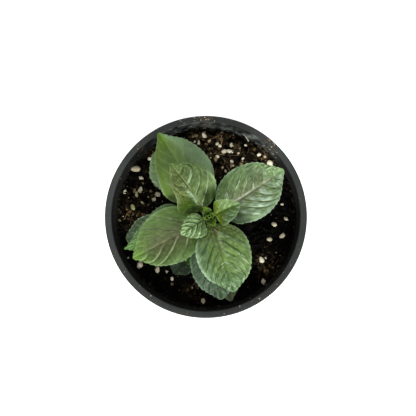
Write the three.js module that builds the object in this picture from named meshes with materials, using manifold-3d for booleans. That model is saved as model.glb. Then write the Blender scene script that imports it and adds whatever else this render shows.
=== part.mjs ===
// Potted mint plant, in millimetres, +Z up, with the origin on the pot's axis where the pot stands.
// A young mint with opposite pairs of leaves grows in a round nursery pot filled with potting mix.

import * as THREE from 'three';
import { mergeVertices } from 'three/addons/utils/BufferGeometryUtils.js';
import Module from 'manifold-3d';

const wasm = await Module();
wasm.setup();

// Driving dimensions of the pot
const POT_HEIGHT = 92;
const RIM_RADIUS = 54;
const RIM_WIDTH = 3.9;
const RIM_THICKNESS = 1.2;
const SKIRT_DEPTH = 7;
const WALL = 1.1;
const EDGE = 0.4;
const FOOT_RADIUS = 39;
const FOOT_WIDTH = 4;
const FOOT_DEPTH = 2;
const FLOOR = 1.5;
const DRAIN_COUNT = 6;
const DRAIN_RADIUS = 3.5;
const DRAIN_CIRCLE = 25;
const DRAIN_SIDES = 16;
const DRAIN_CUTTER = 14;
const ROUND_SEGMENTS = 60;

// Driving dimensions of the soil
const SOIL_DROP = 11;
const GAP = 0.3;
const SOIL_RING_STEP = 3.9;
const SOIL_SHOULDER = 2;
const SOIL_WAVE = 0.5;
const SOIL_WAVES = {
  broad: { x: 0.31, y: 0.27, shift: 0.9, share: 1 },
  slant: { x: -0.38, y: 0.52, share: 0.6 },
};
const CRUMB_COUNT = 90;
const CRUMB_HEIGHT = 1.6;
const CRUMB_RADIUS = { least: 2.5, spread: 2 };
const SOIL_SEED = 7;
const HOLE_RADIUS = 2.4;
const HOLE_DEPTH = 24;

// Driving dimensions of the stem
const STEM_RISE = 60;
const STEM_LEAN = { x: 3.2, y: -2.4 };
const STEM_LEAN_POWER = 1.3;
const STEM_HALF_BASE = 1.6;
const STEM_HALF_TOP = 1.1;
const STEM_CHAMFER = 0.5;
const STEM_TURN = 28;
const NODE_SWELL = 0.35;
const NODE_REACH = 2.2;
const STEM_STEP = 3;
const STEM_RINGS_BELOW_SOIL = 1;

// Heights of the leaf pairs over the soil, from the top pair down
const PAIR_RISE = [58, 54, 47, 38, 29, 20, 11];

// Driving dimensions that all the leaves share
const BLADE_THICKNESS = 0.65;
const EDGE_THICKNESS = 0.6;
const MIDRIB_DEPTH = 0.7;
const STALK_CLEARANCE = 0.5;
const STALK_HALF = 1;
const STALK_THICKNESS = 1.5;
const STALK_ROUNDING = 0.6;
const TIP_HALF = 0.35;
const TOOTH = 0.22;
const TOOTH_REACH = 8;
const MARGIN_FLATNESS = 0.65;
const TOOTHLESS = 0.12;
const VEIN_SWEEP = 4.3;
const VEIN_LEAVES = 0.95;
const BASAL_VEIN = 0.25;
const BASAL_PUFF = 0.5;
const OPENING_AT_BASE = 0.1;
const OPEN_BY = 0.6;
const TANGENT_SHARE = 0.36;
const SLIVER = 0.02;

// How finely a blade is divided, how stout its stalk is and its usual shape, for broad, low and small leaves
const BROAD = { rows: { stalk: 3, base: 7, panel: 4 }, columns: 3, girth: 1, shape: [0.55, 0.78] };
const LOW = { rows: { stalk: 3, base: 6, panel: 3 }, columns: 2, girth: 1, shape: [0.55, 0.78] };
const SMALL = {
  rows: { stalk: 1, base: 3, panel: 2 }, columns: 2, girth: 0.5, shape: [0.55, 0.78],
  stalk: 0.8, panels: 2, quilt: 0.3, curl: [0.05, 0.05],
};

const SOIL_TOP = POT_HEIGHT - SOIL_DROP;
const STEM_TOP = SOIL_TOP + STEM_RISE;
const RIM_INNER = RIM_RADIUS - RIM_WIDTH;
const FLOOR_TOP = FOOT_DEPTH + FLOOR;

// Every leaf: its pair, the azimuth that its stalk leaves at, where its tip lies from the stem and over
// the soil, the heading and the pitch at the tip, the length of its stalk and the half widths of its blade.
// lift and curl bend the left and right halves up from the midrib and down again at the margin, and shape
// holds the powers that round the base and draw out the tip.
const LEAVES = [
  {
    name: 'leaf_1_left', pair: 1, azimuth: 209, tip: { reach: 15.9, azimuth: 212, rise: 60 },
    rise: 38, heading: 215, pitch: -32, stalk: 1.5, halves: [6.2, 4.6], panels: 4, quilt: 0.7,
    lift: [14, 14], curl: [0.18, 0.18], ...BROAD, shape: [0.45, 0.85],
  },
  {
    name: 'leaf_1_right', pair: 1, azimuth: 23, tip: { reach: 15.8, azimuth: 22, rise: 64 },
    rise: 48, heading: 23, pitch: -5, stalk: 1.5, halves: [5.2, 6.8], panels: 4, quilt: 0.6,
    lift: [30, 34], curl: [0.05, 0.05], ...BROAD,
  },
  {
    name: 'leaf_2_back', pair: 2, azimuth: 122, tip: { reach: 30.2, azimuth: 126.4, rise: 67 },
    rise: 22, heading: 130, pitch: 18, stalk: 2.5, halves: [12, 12], panels: 4, quilt: 1.0,
    lift: [50, 10], curl: [0, 0.08], ...BROAD, shape: [0.62, 0.8],
  },
  {
    name: 'leaf_2_front', pair: 2, azimuth: 292, tip: { reach: 38, azimuth: 288, rise: 54 },
    rise: 26, heading: 284, pitch: -42, stalk: 2.5, halves: [13, 12], panels: 6, quilt: 0.8,
    lift: [8, 8], curl: [0.08, 0.3], ...BROAD, shape: [0.6, 0.78],
  },
  {
    name: 'leaf_3_left', pair: 3, azimuth: 211, tip: { reach: 42.1, azimuth: 209, rise: 48 },
    rise: 20, heading: 207, pitch: -12, stalk: 3, halves: [12, 14], panels: 4, quilt: 0.6,
    lift: [6, 6], curl: [0.06, 0.06], ...BROAD,
  },
  {
    name: 'leaf_3_right', pair: 3, azimuth: 28, tip: { reach: 43.2, azimuth: 31.7, rise: 50 },
    rise: 20, heading: 34, pitch: -10, stalk: 3, halves: [13, 13], panels: 6, quilt: 0.8,
    lift: [8, 4], curl: [0.08, 0.12], ...BROAD, shape: [0.66, 0.74],
  },
  {
    name: 'leaf_4_back', pair: 4, azimuth: 117, tip: { reach: 47.5, azimuth: 120.6, rise: 47 },
    rise: 22, heading: 125, pitch: 4, stalk: 8, halves: [14, 13.6], panels: 5, quilt: 0.35,
    lift: [32, 4], curl: [-0.1, 0.1], ...BROAD, shape: [0.53, 0.88],
  },
  {
    name: 'leaf_4_front', pair: 4, azimuth: 279, tip: { reach: 42.2, azimuth: 279.4, rise: 33 },
    rise: 16, heading: 280, pitch: -30, stalk: 7, halves: [13, 11.8], panels: 5, quilt: 0.5,
    lift: [8, 8], curl: [0.08, 0.12], ...BROAD, shape: [0.62, 0.78],
  },
  {
    name: 'leaf_5_left', pair: 5, azimuth: 203, tip: { reach: 45, azimuth: 201.5, rise: 33 },
    rise: 18, heading: 200, pitch: -10, stalk: 8, halves: [15, 13], panels: 5, quilt: 0.4,
    lift: [6, 6], curl: [0.1, 0.1], ...LOW, shape: [0.42, 1.2],
  },
  {
    name: 'leaf_5_right', pair: 5, azimuth: 24, tip: { reach: 36, azimuth: 26, rise: 30 },
    rise: 14, heading: 27, pitch: -16, stalk: 8, halves: [10.5, 10.5], panels: 4, quilt: 0.4,
    lift: [6, 6], curl: [0.1, 0.1], ...LOW,
  },
  {
    name: 'leaf_6_back', pair: 6, azimuth: 127, tip: { reach: 43, azimuth: 130, rise: 23 },
    rise: 15, heading: 133, pitch: -8, stalk: 9, halves: [10, 12], panels: 4, quilt: 0.35,
    lift: [6, 6], curl: [0.1, 0.1], ...LOW, shape: [1, 0.62],
  },
  {
    name: 'leaf_6_front', pair: 6, azimuth: 287, tip: { reach: 46, azimuth: 286, rise: 16 },
    rise: 12, heading: 285, pitch: -18, stalk: 9, halves: [11.5, 11.5], panels: 4, quilt: 0.35,
    lift: [6, 6], curl: [0.1, 0.1], ...LOW, shape: [0.6, 0.85],
  },
  {
    name: 'leaf_7_left', pair: 7, azimuth: 198, tip: { reach: 44.2, azimuth: 195.5, rise: 13 },
    rise: 14, heading: 193, pitch: -10, stalk: 9, halves: [10.5, 9.2], panels: 4, quilt: 0.3,
    lift: [6, 6], curl: [0.1, 0.1], ...LOW, shape: [0.7, 0.6],
  },
  {
    name: 'leaf_7_right', pair: 7, azimuth: 20, tip: { reach: 30, azimuth: 17, rise: 10 },
    rise: 12, heading: 15, pitch: -14, stalk: 8, halves: [9, 9], panels: 4, quilt: 0.3,
    lift: [6, 6], curl: [0.1, 0.1], ...LOW,
  },
];

// The bud at the top of the stem, with the azimuths of its outer and inner leaflets
const BUD = {
  height: 2.6, top: 0.5, foot: 1.3, sides: 8, leafHeight: 1.2, turns: [[118, 30], [298, 210]],
  outer: { reach: 5, climb: 3.4, rise: 62, pitch: 8, halves: [2.1, 2.1], lift: [24, 24] },
  inner: { reach: 2.4, climb: 3.8, rise: 78, pitch: 55, halves: [1.4, 1.4], lift: [30, 30] },
};

// The side shoot, with its leaves at shares of its length and two alike at its bright end
const SHOOT_END = { reach: 4.5, climb: 2.5, rise: 50, pitch: 0, halves: [1.7, 1.7], lift: [20, 20] };
const SHOOT = {
  azimuth: 246, rise: 6, reach: 25.5, endRise: 17, leavingRise: 10, endPitch: 40,
  girth: 0.9, steps: 8, quarterSides: 4,
  leaves: [
    {
      at: 0.8, azimuth: 233, reach: 13.5, climb: -1, rise: 12, pitch: -20,
      halves: [6.5, 7], lift: [8, 8], panels: 3,
    },
    { at: 0.8, azimuth: 62, reach: 8, climb: 3, rise: 40, pitch: 0, halves: [2.8, 2.8], lift: [8, 8] },
    { at: 0.97, azimuth: 155, ...SHOOT_END },
    { at: 0.97, azimuth: 335, ...SHOOT_END },
  ],
};

function plasticMaterial() {
  return new THREE.MeshStandardMaterial({ color: 0x33373a, roughness: 0.55, metalness: 0 });
}

function soilMaterial() {
  return new THREE.MeshStandardMaterial({ color: 0x2b2118, roughness: 0.95, metalness: 0 });
}

function stemMaterial() {
  return new THREE.MeshStandardMaterial({ color: 0x6b7148, roughness: 0.6, metalness: 0 });
}

function leafMaterial(color) {
  return new THREE.MeshStandardMaterial({ color, roughness: 0.5, metalness: 0 });
}

// A linear congruential generator of numbers from 0 to 1, always the same for the same seed.
const RANDOM = { factor: 1664525, addend: 1013904223, modulus: 4294967296 };

function seededRandom(seed) {
  let state = seed;
  return () => {
    state = (state * RANDOM.factor + RANDOM.addend) % RANDOM.modulus;
    return state / RANDOM.modulus;
  };
}

function bearing(azimuth, pitch = 0) {
  const turn = THREE.MathUtils.degToRad(azimuth);
  const tilt = THREE.MathUtils.degToRad(pitch);
  const flat = Math.cos(tilt);
  return new THREE.Vector3(flat * Math.cos(turn), flat * Math.sin(turn), Math.sin(tilt));
}

// The stem's axis leans gently from the middle of the pot towards the front right.
function stemAxis(z) {
  const share = Math.max(0, (z - SOIL_TOP) / STEM_RISE) ** STEM_LEAN_POWER;
  return new THREE.Vector3(STEM_LEAN.x * share, STEM_LEAN.y * share, z);
}

function stemHalf(z) {
  const share = THREE.MathUtils.clamp((z - SOIL_TOP) / STEM_RISE, 0, 1);
  return THREE.MathUtils.lerp(STEM_HALF_BASE, STEM_HALF_TOP, share);
}

// A node is thicker than the stem between nodes.
function nodeSwell(z) {
  const swells = PAIR_RISE.map((rise) => {
    const distance = Math.abs(z - SOIL_TOP - rise) / NODE_REACH;
    return distance < 1 ? NODE_SWELL * (1 - distance) : 0;
  });
  return Math.max(...swells);
}

function geometryFrom(points, triangles) {
  const geometry = new THREE.BufferGeometry();
  geometry.setAttribute('position', new THREE.Float32BufferAttribute(points.flatMap((p) => p.toArray()), 3));
  geometry.setIndex(triangles.flat());
  geometry.computeVertexNormals();
  return geometry;
}

// A closed solid lofted through rings of equal length, each listed anticlockwise seen from above.
function loft(rings) {
  const count = rings[0].length;
  const points = rings.flat();
  const triangles = [];
  for (let i = 0; i < rings.length - 1; i += 1) {
    for (let j = 0; j < count; j += 1) {
      const next = (j + 1) % count;
      const low = i * count;
      const high = low + count;
      triangles.push([low + j, low + next, high + next], [low + j, high + next, high + j]);
    }
  }
  const last = (rings.length - 1) * count;
  for (let j = 1; j < count - 1; j += 1) {
    triangles.push([0, j + 1, j], [last, last + j, last + j + 1]);
  }
  return geometryFrom(points, triangles);
}

// A closed thin sheet between two grids of points. Rows run from the stalk to the tip, columns from the
// left margin to the right. Both faces are split along the same diagonals.
function sheet(top, bottom) {
  const rows = top.length;
  const columns = top[0].length;
  const middle = (columns - 1) / 2;
  const points = [...top.flat(), ...bottom.flat()];
  const triangles = [];
  const upper = (i, j) => i * columns + j;
  const lower = (i, j) => (rows + i) * columns + j;
  const face = (a, b, c, d, outerFirst) => {
    if (outerFirst) triangles.push([a, b, c], [a, c, d]);
    else triangles.push([a, b, d], [b, c, d]);
  };
  for (let i = 0; i < rows - 1; i += 1) {
    for (let j = 0; j < columns - 1; j += 1) {
      const left = j < middle;
      face(upper(i, j), upper(i, j + 1), upper(i + 1, j + 1), upper(i + 1, j), left);
      face(lower(i, j + 1), lower(i, j), lower(i + 1, j), lower(i + 1, j + 1), !left);
    }
    const last = columns - 1;
    face(upper(i, 0), upper(i + 1, 0), lower(i + 1, 0), lower(i, 0), true);
    face(lower(i, last), lower(i + 1, last), upper(i + 1, last), upper(i, last), true);
  }
  for (let j = 0; j < columns - 1; j += 1) {
    const end = rows - 1;
    face(upper(0, j), lower(0, j), lower(0, j + 1), upper(0, j + 1), true);
    face(upper(end, j + 1), lower(end, j + 1), lower(end, j), upper(end, j), true);
  }
  return geometryFrom(points, triangles);
}

// The outline of a mint leaf: 0 at the base, 1 at its widest and 0 at the pointed tip.
function outline([swell, taper], s) {
  const widest = swell / (swell + taper);
  const peak = widest ** swell * (1 - widest) ** taper;
  return (s ** swell * (1 - s) ** taper) / peak;
}

// The rows of a blade follow its side veins. Each row is named by where it meets the margin, from 0 to 1,
// and has the height of the quilted panel there and the tooth that it ends in.
function bladeRows(panels, count) {
  const vein = (j) => ((j + BASAL_VEIN) / (panels + BASAL_VEIN)) ** (1 / VEIN_SWEEP);
  const outOrIn = (k) => (k % 2 ? 1 : -1);
  const rows = [];
  for (let k = 1; k < count.base; k += 1) {
    const share = k / count.base;
    const puff = BASAL_PUFF * Math.sin(Math.PI * share);
    rows.push({ margin: vein(0) * share, puff, tooth: outOrIn(k) });
  }
  for (let j = 0; j < panels; j += 1) {
    for (let k = 0; k < count.panel; k += 1) {
      const share = k / count.panel;
      const margin = THREE.MathUtils.lerp(vein(j), vein(j + 1), share);
      rows.push({ margin, puff: Math.sin(Math.PI * share), tooth: outOrIn(k) });
    }
  }
  rows.push({ margin: 1, puff: 0, tooth: 0 });
  return rows.map((row) => (row.margin < TOOTHLESS ? { ...row, tooth: 0 } : row));
}

// The midrib with its stalk: from the stem's face out to the tip of the leaf.
function midribCurve(leaf) {
  const base = SOIL_TOP + PAIR_RISE[leaf.pair - 1];
  const foot = stemHalf(base) + NODE_SWELL + STALK_CLEARANCE;
  const start = stemAxis(base).addScaledVector(bearing(leaf.azimuth), foot);
  const tip = stemAxis(base).addScaledVector(bearing(leaf.tip.azimuth), leaf.tip.reach);
  tip.z = SOIL_TOP + leaf.tip.rise;
  return bentCurve(start, tip, leaf);
}

function bentCurve(start, tip, { azimuth, rise, heading, pitch }) {
  const handle = TANGENT_SHARE * start.distanceTo(tip);
  const leaving = start.clone().addScaledVector(bearing(azimuth, rise), handle);
  const arriving = tip.clone().addScaledVector(bearing(heading, pitch), -handle);
  return new THREE.CubicBezierCurve3(start, leaving, arriving, tip);
}

// The frame at a share of the curve: forward, to the left, and up out of the leaf.
function leafFrame(curve, share) {
  const forward = curve.getTangentAt(share);
  const left = new THREE.Vector3(0, 0, 1).cross(forward).normalize();
  const up = forward.clone().cross(left);
  return { place: curve.getPointAt(share), left, up };
}

// One point of the blade's upper face. t runs from 1 at the left margin to -1 at the right.
function bladePoint(leaf, curve, stalkShare, row, t) {
  const a = Math.abs(t);
  const side = t > 0 ? 0 : 1;
  const origin = row.margin ** VEIN_SWEEP;
  const s = origin + (row.margin - origin) * (VEIN_LEAVES * a + (1 - VEIN_LEAVES) * a * a);
  const frame = leafFrame(curve, stalkShare + (1 - stalkShare) * s);
  const rib = THREE.MathUtils.lerp(STALK_HALF * leaf.girth, TIP_HALF, s);
  const half = rib + leaf.halves[side] * outline(leaf.shape, s) + TOOTH * row.tooth * a ** TOOTH_REACH;
  const opening = OPENING_AT_BASE + (1 - OPENING_AT_BASE) * THREE.MathUtils.smoothstep(s, 0, OPEN_BY);
  const lift = THREE.MathUtils.degToRad(leaf.lift[side] * opening);
  const along = half * a * Math.cos(lift);
  const over = half * (a * Math.sin(lift) - leaf.curl[side] * a * a * opening);
  const puff = leaf.quilt * row.puff * (1 - (1 - a) ** 4) * (1 - MARGIN_FLATNESS * a ** 4);
  return frame.place
    .addScaledVector(frame.left, Math.sign(t) * along)
    .addScaledVector(frame.up, over + puff);
}

// The lower face lies under the upper by the thickness, which grows to the midrib.
function underside(top, depth) {
  return top.map((row, i) => row.map((point, j) => {
    const ahead = top[Math.min(i + 1, top.length - 1)][j].clone().sub(top[Math.max(i - 1, 0)][j]);
    const across = row[Math.max(j - 1, 0)].clone().sub(row[Math.min(j + 1, row.length - 1)]);
    const normal = ahead.cross(across).normalize();
    return point.clone().addScaledVector(normal, -depth(i, j));
  }));
}

function leafSolid(leaf, curve) {
  const columns = Array.from({ length: 2 * leaf.columns + 1 }, (_, j) => 1 - j / leaf.columns);
  const stalkShare = leaf.stalk / curve.getLength();
  const rows = bladeRows(leaf.panels, leaf.rows);
  const stalkRows = leaf.rows.stalk;
  const stalk = Array.from({ length: stalkRows + 1 }, (_, i) => {
    const frame = leafFrame(curve, (stalkShare * i) / stalkRows);
    return columns.map((t) => frame.place.clone().addScaledVector(frame.left, t * STALK_HALF * leaf.girth));
  });
  const blade = rows.map((row) => columns.map((t) => bladePoint(leaf, curve, stalkShare, row, t)));
  const depth = (i, j) => {
    const a = Math.abs(columns[j]);
    if (i <= stalkRows) return STALK_THICKNESS * leaf.girth * (1 - STALK_ROUNDING * a * a);
    const toTip = 1 - rows[i - stalkRows - 1].margin ** VEIN_SWEEP;
    const edge = THREE.MathUtils.lerp(BLADE_THICKNESS, EDGE_THICKNESS, a);
    return edge + (j === leaf.columns ? MIDRIB_DEPTH * leaf.girth * toTip : 0);
  };
  const top = [...stalk, ...blade];
  return sheet(top, underside(top, depth));
}

function toManifold(geometry) {
  const bare = new THREE.BufferGeometry();
  bare.setAttribute('position', geometry.getAttribute('position'));
  bare.setIndex(geometry.getIndex());
  const merged = mergeVertices(bare);
  const index = merged.getIndex().array;
  const kept = [];
  for (let i = 0; i < index.length; i += 3) {
    const [a, b, c] = index.slice(i, i + 3);
    if (a !== b && b !== c && c !== a) kept.push(a, b, c);
  }
  const vertProperties = new Float32Array(merged.getAttribute('position').array);
  return new wasm.Manifold(new wasm.Mesh({ numProp: 3, vertProperties, triVerts: new Uint32Array(kept) }));
}

function fromManifold(solid) {
  const mesh = solid.getMesh();
  const geometry = new THREE.BufferGeometry();
  geometry.setAttribute('position', new THREE.Float32BufferAttribute(mesh.vertProperties, 3));
  geometry.setIndex(Array.from(mesh.triVerts));
  geometry.computeVertexNormals();
  return geometry;
}

// Pieces grown together as one body: loose scraps are dropped and sealed hollows are filled.
function grownTogether(pieces) {
  const joined = pieces.reduce((body, piece) => body.add(piece)).simplify(SLIVER);
  const bodies = joined.decompose().sort((a, b) => b.volume() - a.volume());
  return fromManifold(bodies[0]);
}

// The pot's section, from the middle of its underside round the foot, wall and rim to its floor.
function potProfile() {
  const wallTop = RIM_INNER + WALL;
  const skirt = RIM_RADIUS - WALL;
  const underRim = POT_HEIGHT - RIM_THICKNESS;
  const skirtFoot = POT_HEIGHT - SKIRT_DEPTH;
  return [
    [0, FOOT_DEPTH],
    [FOOT_RADIUS - FOOT_WIDTH - FOOT_DEPTH, FOOT_DEPTH],
    [FOOT_RADIUS - FOOT_WIDTH, 0],
    [FOOT_RADIUS, 0],
    [wallTop, underRim],
    [skirt, underRim],
    [skirt, skirtFoot],
    [RIM_RADIUS, skirtFoot],
    [RIM_RADIUS, POT_HEIGHT - EDGE],
    [RIM_RADIUS - EDGE, POT_HEIGHT],
    [RIM_INNER + EDGE, POT_HEIGHT],
    [RIM_INNER, POT_HEIGHT - EDGE],
    [wallInner(FLOOR_TOP), FLOOR_TOP],
    [0, FLOOR_TOP],
  ].map(([radius, height]) => new THREE.Vector2(radius, height));
}

function wallInner(z) {
  const slope = (RIM_INNER - (FOOT_RADIUS - WALL)) / (POT_HEIGHT - EDGE);
  return FOOT_RADIUS - WALL + slope * z;
}

function potGeometry() {
  const shell = new THREE.LatheGeometry(potProfile(), ROUND_SEGMENTS).rotateX(Math.PI / 2);
  let pot = toManifold(shell);
  for (let i = 0; i < DRAIN_COUNT; i += 1) {
    const drain = new THREE.CylinderGeometry(DRAIN_RADIUS, DRAIN_RADIUS, DRAIN_CUTTER, DRAIN_SIDES);
    const place = bearing((360 * i) / DRAIN_COUNT).multiplyScalar(DRAIN_CIRCLE);
    drain.rotateX(Math.PI / 2).translate(place.x, place.y, 0);
    pot = pot.subtract(toManifold(drain));
  }
  return fromManifold(pot);
}

// Crumbs of bark and perlite raise the soil's surface here and there.
function soilCrumbs() {
  const random = seededRandom(SOIL_SEED);
  return Array.from({ length: CRUMB_COUNT }, () => {
    const place = bearing(360 * random()).multiplyScalar(wallInner(SOIL_TOP) * Math.sqrt(random()));
    const radius = CRUMB_RADIUS.least + CRUMB_RADIUS.spread * random();
    return { x: place.x, y: place.y, radius, height: CRUMB_HEIGHT * random() };
  });
}

function soilHeight(x, y, crumbs) {
  const { broad, slant } = SOIL_WAVES;
  const broadWave = broad.share * Math.sin(broad.x * x + broad.shift) * Math.cos(broad.y * y);
  const slantWave = slant.share * Math.sin(slant.x * x + slant.y * y);
  const bumps = crumbs.map(({ x: cx, y: cy, radius, height }) => {
    const distance = Math.hypot(x - cx, y - cy) / radius;
    return distance < 1 ? height * (1 - distance * distance) : 0;
  });
  return SOIL_TOP + SOIL_WAVE * (broadWave + slantWave) + Math.max(...bumps);
}

function soilGeometry() {
  const crumbs = soilCrumbs();
  const ring = (radius, height) => Array.from({ length: ROUND_SEGMENTS }, (_, j) => {
    const point = bearing((360 * j) / ROUND_SEGMENTS).multiplyScalar(radius);
    point.z = height ?? soilHeight(point.x, point.y, crumbs);
    return point;
  });
  const floor = FLOOR_TOP + GAP;
  const edge = wallInner(SOIL_TOP) - GAP;
  const rings = [
    ring(wallInner(floor) - GAP, floor),
    ring(edge - GAP, SOIL_TOP - SOIL_SHOULDER),
  ];
  const steps = Math.round((edge - HOLE_RADIUS) / SOIL_RING_STEP);
  for (let i = steps; i >= 0; i -= 1) {
    rings.push(ring(HOLE_RADIUS + ((edge - GAP - HOLE_RADIUS) * i) / steps));
  }
  rings.push(ring(HOLE_RADIUS, SOIL_TOP - HOLE_DEPTH));
  return loft(rings);
}

function stemRing(z) {
  const half = stemHalf(z) + nodeSwell(z);
  const axis = stemAxis(z);
  const cut = half - STEM_CHAMFER;
  const corners = [[half, -cut], [half, cut], [cut, half], [-cut, half],
    [-half, cut], [-half, -cut], [-cut, -half], [cut, -half]];
  const turn = THREE.MathUtils.degToRad(STEM_TURN);
  return corners.map(([x, y]) => {
    const spun = new THREE.Vector2(x, y).rotateAround(new THREE.Vector2(), turn);
    return new THREE.Vector3(axis.x + spun.x, axis.y + spun.y, z);
  });
}

function stemGeometry() {
  const foot = SOIL_TOP - HOLE_DEPTH + GAP;
  const heights = [foot];
  const first = SOIL_TOP - STEM_RINGS_BELOW_SOIL;
  for (let z = first; z < STEM_TOP - STEM_STEP / 2; z += STEM_STEP) heights.push(z);
  heights.push(STEM_TOP);
  return loft(heights.map(stemRing));
}

// A small leaf that grows fused to a bud or a side shoot.
function smallLeaf(start, { reach, climb, ...shape }) {
  const tip = start.clone().addScaledVector(bearing(shape.azimuth), reach);
  tip.z += climb;
  const leaf = { ...SMALL, ...shape };
  return toManifold(leafSolid(leaf, bentCurve(start, tip, { heading: leaf.azimuth, ...leaf })));
}

function tubeAlong(curve, radius) {
  const section = new THREE.Shape().absarc(0, 0, radius, 0, 2 * Math.PI);
  const division = { steps: SHOOT.steps, curveSegments: SHOOT.quarterSides };
  return new THREE.ExtrudeGeometry(section, { extrudePath: curve, ...division });
}

// The bud at the top of the stem: two pairs of unopened leaflets round a small cone.
function growingTipGeometry() {
  const seat = stemAxis(STEM_TOP + GAP);
  const { height, top, foot, sides, leafHeight, outer, inner, turns } = BUD;
  const cone = new THREE.CylinderGeometry(top, foot, height, sides).rotateX(Math.PI / 2);
  cone.translate(seat.x, seat.y, seat.z + height / 2);
  const heart = seat.clone().setZ(seat.z + leafHeight);
  const leaflets = turns.flatMap(([outerTurn, innerTurn]) => [
    smallLeaf(heart, { azimuth: outerTurn, ...outer }),
    smallLeaf(heart, { azimuth: innerTurn, ...inner }),
  ]);
  return grownTogether([toManifold(cone), ...leaflets]);
}

// The young shoot low on the stem: a thin stem with one grown leaf, a smaller one and a bright end.
function sideShootGeometry() {
  const { azimuth, rise, reach, endRise, leavingRise, endPitch, girth, leaves } = SHOOT;
  const base = SOIL_TOP + rise;
  const foot = stemHalf(base) + STALK_CLEARANCE + girth;
  const start = stemAxis(base).addScaledVector(bearing(azimuth), foot);
  const end = stemAxis(base).addScaledVector(bearing(azimuth), reach).setZ(SOIL_TOP + endRise);
  const path = bentCurve(start, end, { azimuth, rise: leavingRise, heading: azimuth, pitch: endPitch });
  const grown = leaves.map(({ at, ...leaf }) => smallLeaf(path.getPointAt(at), leaf));
  return grownTogether([toManifold(tubeAlong(path, girth)), ...grown]);
}

function named(name, geometry, material) {
  const mesh = new THREE.Mesh(geometry, material);
  mesh.name = name;
  return mesh;
}

// Leaves are paler near the tip of the stem and darker and bluer low down.
const TOP_LEAF_COLOR = new THREE.Color(0x7f9a5e);
const LOW_LEAF_COLOR = new THREE.Color(0x4f6a4b);
const BUD_COLOR = new THREE.Color(0x4a6218);
const SHOOT_COLOR = new THREE.Color(0x4c6a3a);

function leafMesh(leaf) {
  const geometry = leafSolid(leaf, midribCurve(leaf));
  const share = (leaf.pair - 1) / (PAIR_RISE.length - 1);
  return named(leaf.name, geometry, leafMaterial(TOP_LEAF_COLOR.clone().lerp(LOW_LEAF_COLOR, share)));
}

const plant = new THREE.Group();
plant.add(named('pot', potGeometry(), plasticMaterial()));
plant.add(named('soil', soilGeometry(), soilMaterial()));
plant.add(named('stem', stemGeometry(), stemMaterial()));
plant.add(named('growing_tip', growingTipGeometry(), leafMaterial(BUD_COLOR)));
plant.add(named('side_shoot', sideShootGeometry(), leafMaterial(SHOOT_COLOR)));
LEAVES.forEach((leaf) => plant.add(leafMesh(leaf)));

export default plant;
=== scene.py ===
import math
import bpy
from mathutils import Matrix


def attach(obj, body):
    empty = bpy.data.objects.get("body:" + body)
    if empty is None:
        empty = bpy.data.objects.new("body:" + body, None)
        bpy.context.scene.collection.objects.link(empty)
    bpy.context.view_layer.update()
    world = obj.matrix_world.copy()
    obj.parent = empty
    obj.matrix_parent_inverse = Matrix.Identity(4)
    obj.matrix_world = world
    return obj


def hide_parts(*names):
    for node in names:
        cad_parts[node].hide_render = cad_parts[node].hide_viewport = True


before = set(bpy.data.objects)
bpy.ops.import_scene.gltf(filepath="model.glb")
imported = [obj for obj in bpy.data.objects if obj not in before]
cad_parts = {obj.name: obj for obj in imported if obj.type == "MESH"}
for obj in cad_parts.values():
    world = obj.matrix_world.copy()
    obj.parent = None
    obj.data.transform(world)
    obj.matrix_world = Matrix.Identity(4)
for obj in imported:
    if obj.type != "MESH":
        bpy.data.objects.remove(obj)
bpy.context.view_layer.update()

# A young mint in a round nursery pot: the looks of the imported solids, in metres, +Z up.
# Shapes are worked out in millimetres and scaled as each mesh is made.

from types import SimpleNamespace

import bmesh
import bpy
import numpy as np
from mathutils import Matrix, Vector

MM = 0.001

# The pot
POT_HEIGHT = 92
RIM_RADIUS = 54
RIM_WIDTH = 3.9
RIM_THICKNESS = 1.2
SKIRT_DEPTH = 7
WALL = 1.1
FOOT_RADIUS = 39
FOOT_WIDTH = 4
FOOT_DEPTH = 2
FLOOR = 1.5
EDGE = 0.4
DRAIN_COUNT = 6
DRAIN_RADIUS = 3.5
DRAIN_CIRCLE = 25
GAP = 0.3

# The stem and the leaf pairs
SOIL_DROP = 11
STEM_RISE = 60
STEM_LEAN = (3.2, -2.4)
STEM_LEAN_POWER = 1.3
STEM_HALF_BASE = 1.6
STEM_HALF_TOP = 1.1
STEM_TURN = 28
NODE_SWELL = 0.35
NODE_REACH = 2.2
HOLE_DEPTH = 24
PAIR_RISE = (58, 54, 47, 38, 29, 20, 11)

# What all the leaves share
STALK_CLEARANCE = 0.5
STALK_HALF = 1
TIP_HALF = 0.35
MARGIN_FLATNESS = 0.65
# How far the side veins sweep towards the tip, and how straight they leave the midrib
VEINS = (4.3, 0.95)
BASAL_VEIN = 0.25
OPENING_AT_BASE = 0.1
OPEN_BY = 0.6
TIP_POINT = 0.35
TIP_FROM = 0.74
TANGENT_SHARE = 0.36

SOIL_TOP = POT_HEIGHT - SOIL_DROP
STEM_TOP = SOIL_TOP + STEM_RISE
RIM_INNER = RIM_RADIUS - RIM_WIDTH
FLOOR_TOP = FOOT_DEPTH + FLOOR


def linear(red, green, blue):
    """A colour of 0 to 255 as the linear light that shaders mix."""
    shares = np.array([red, green, blue]) / 255
    return np.where(shares <= 0.04045, shares / 12.92, ((shares + 0.055) / 1.055) ** 2.4)


def smoothstep(x, low, high):
    x = np.clip((x - low) / (high - low), 0, 1)
    return x * x * (3 - 2 * x)


def faded(x, low, high):
    """1 below the low value and 0 above the high one."""
    return 1 - smoothstep(x, low, high)


def bell(x, middle, width):
    """1 in the middle, falling away over the width on both sides."""
    return np.exp(-((x - middle) / width) ** 2)


def domed(x):
    """Rises fast from 0 and levels off at 1."""
    return 1 - (1 - np.clip(x, 0, 1)) ** 2


def lerp(a, b, share):
    return a + (b - a) * share


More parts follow.
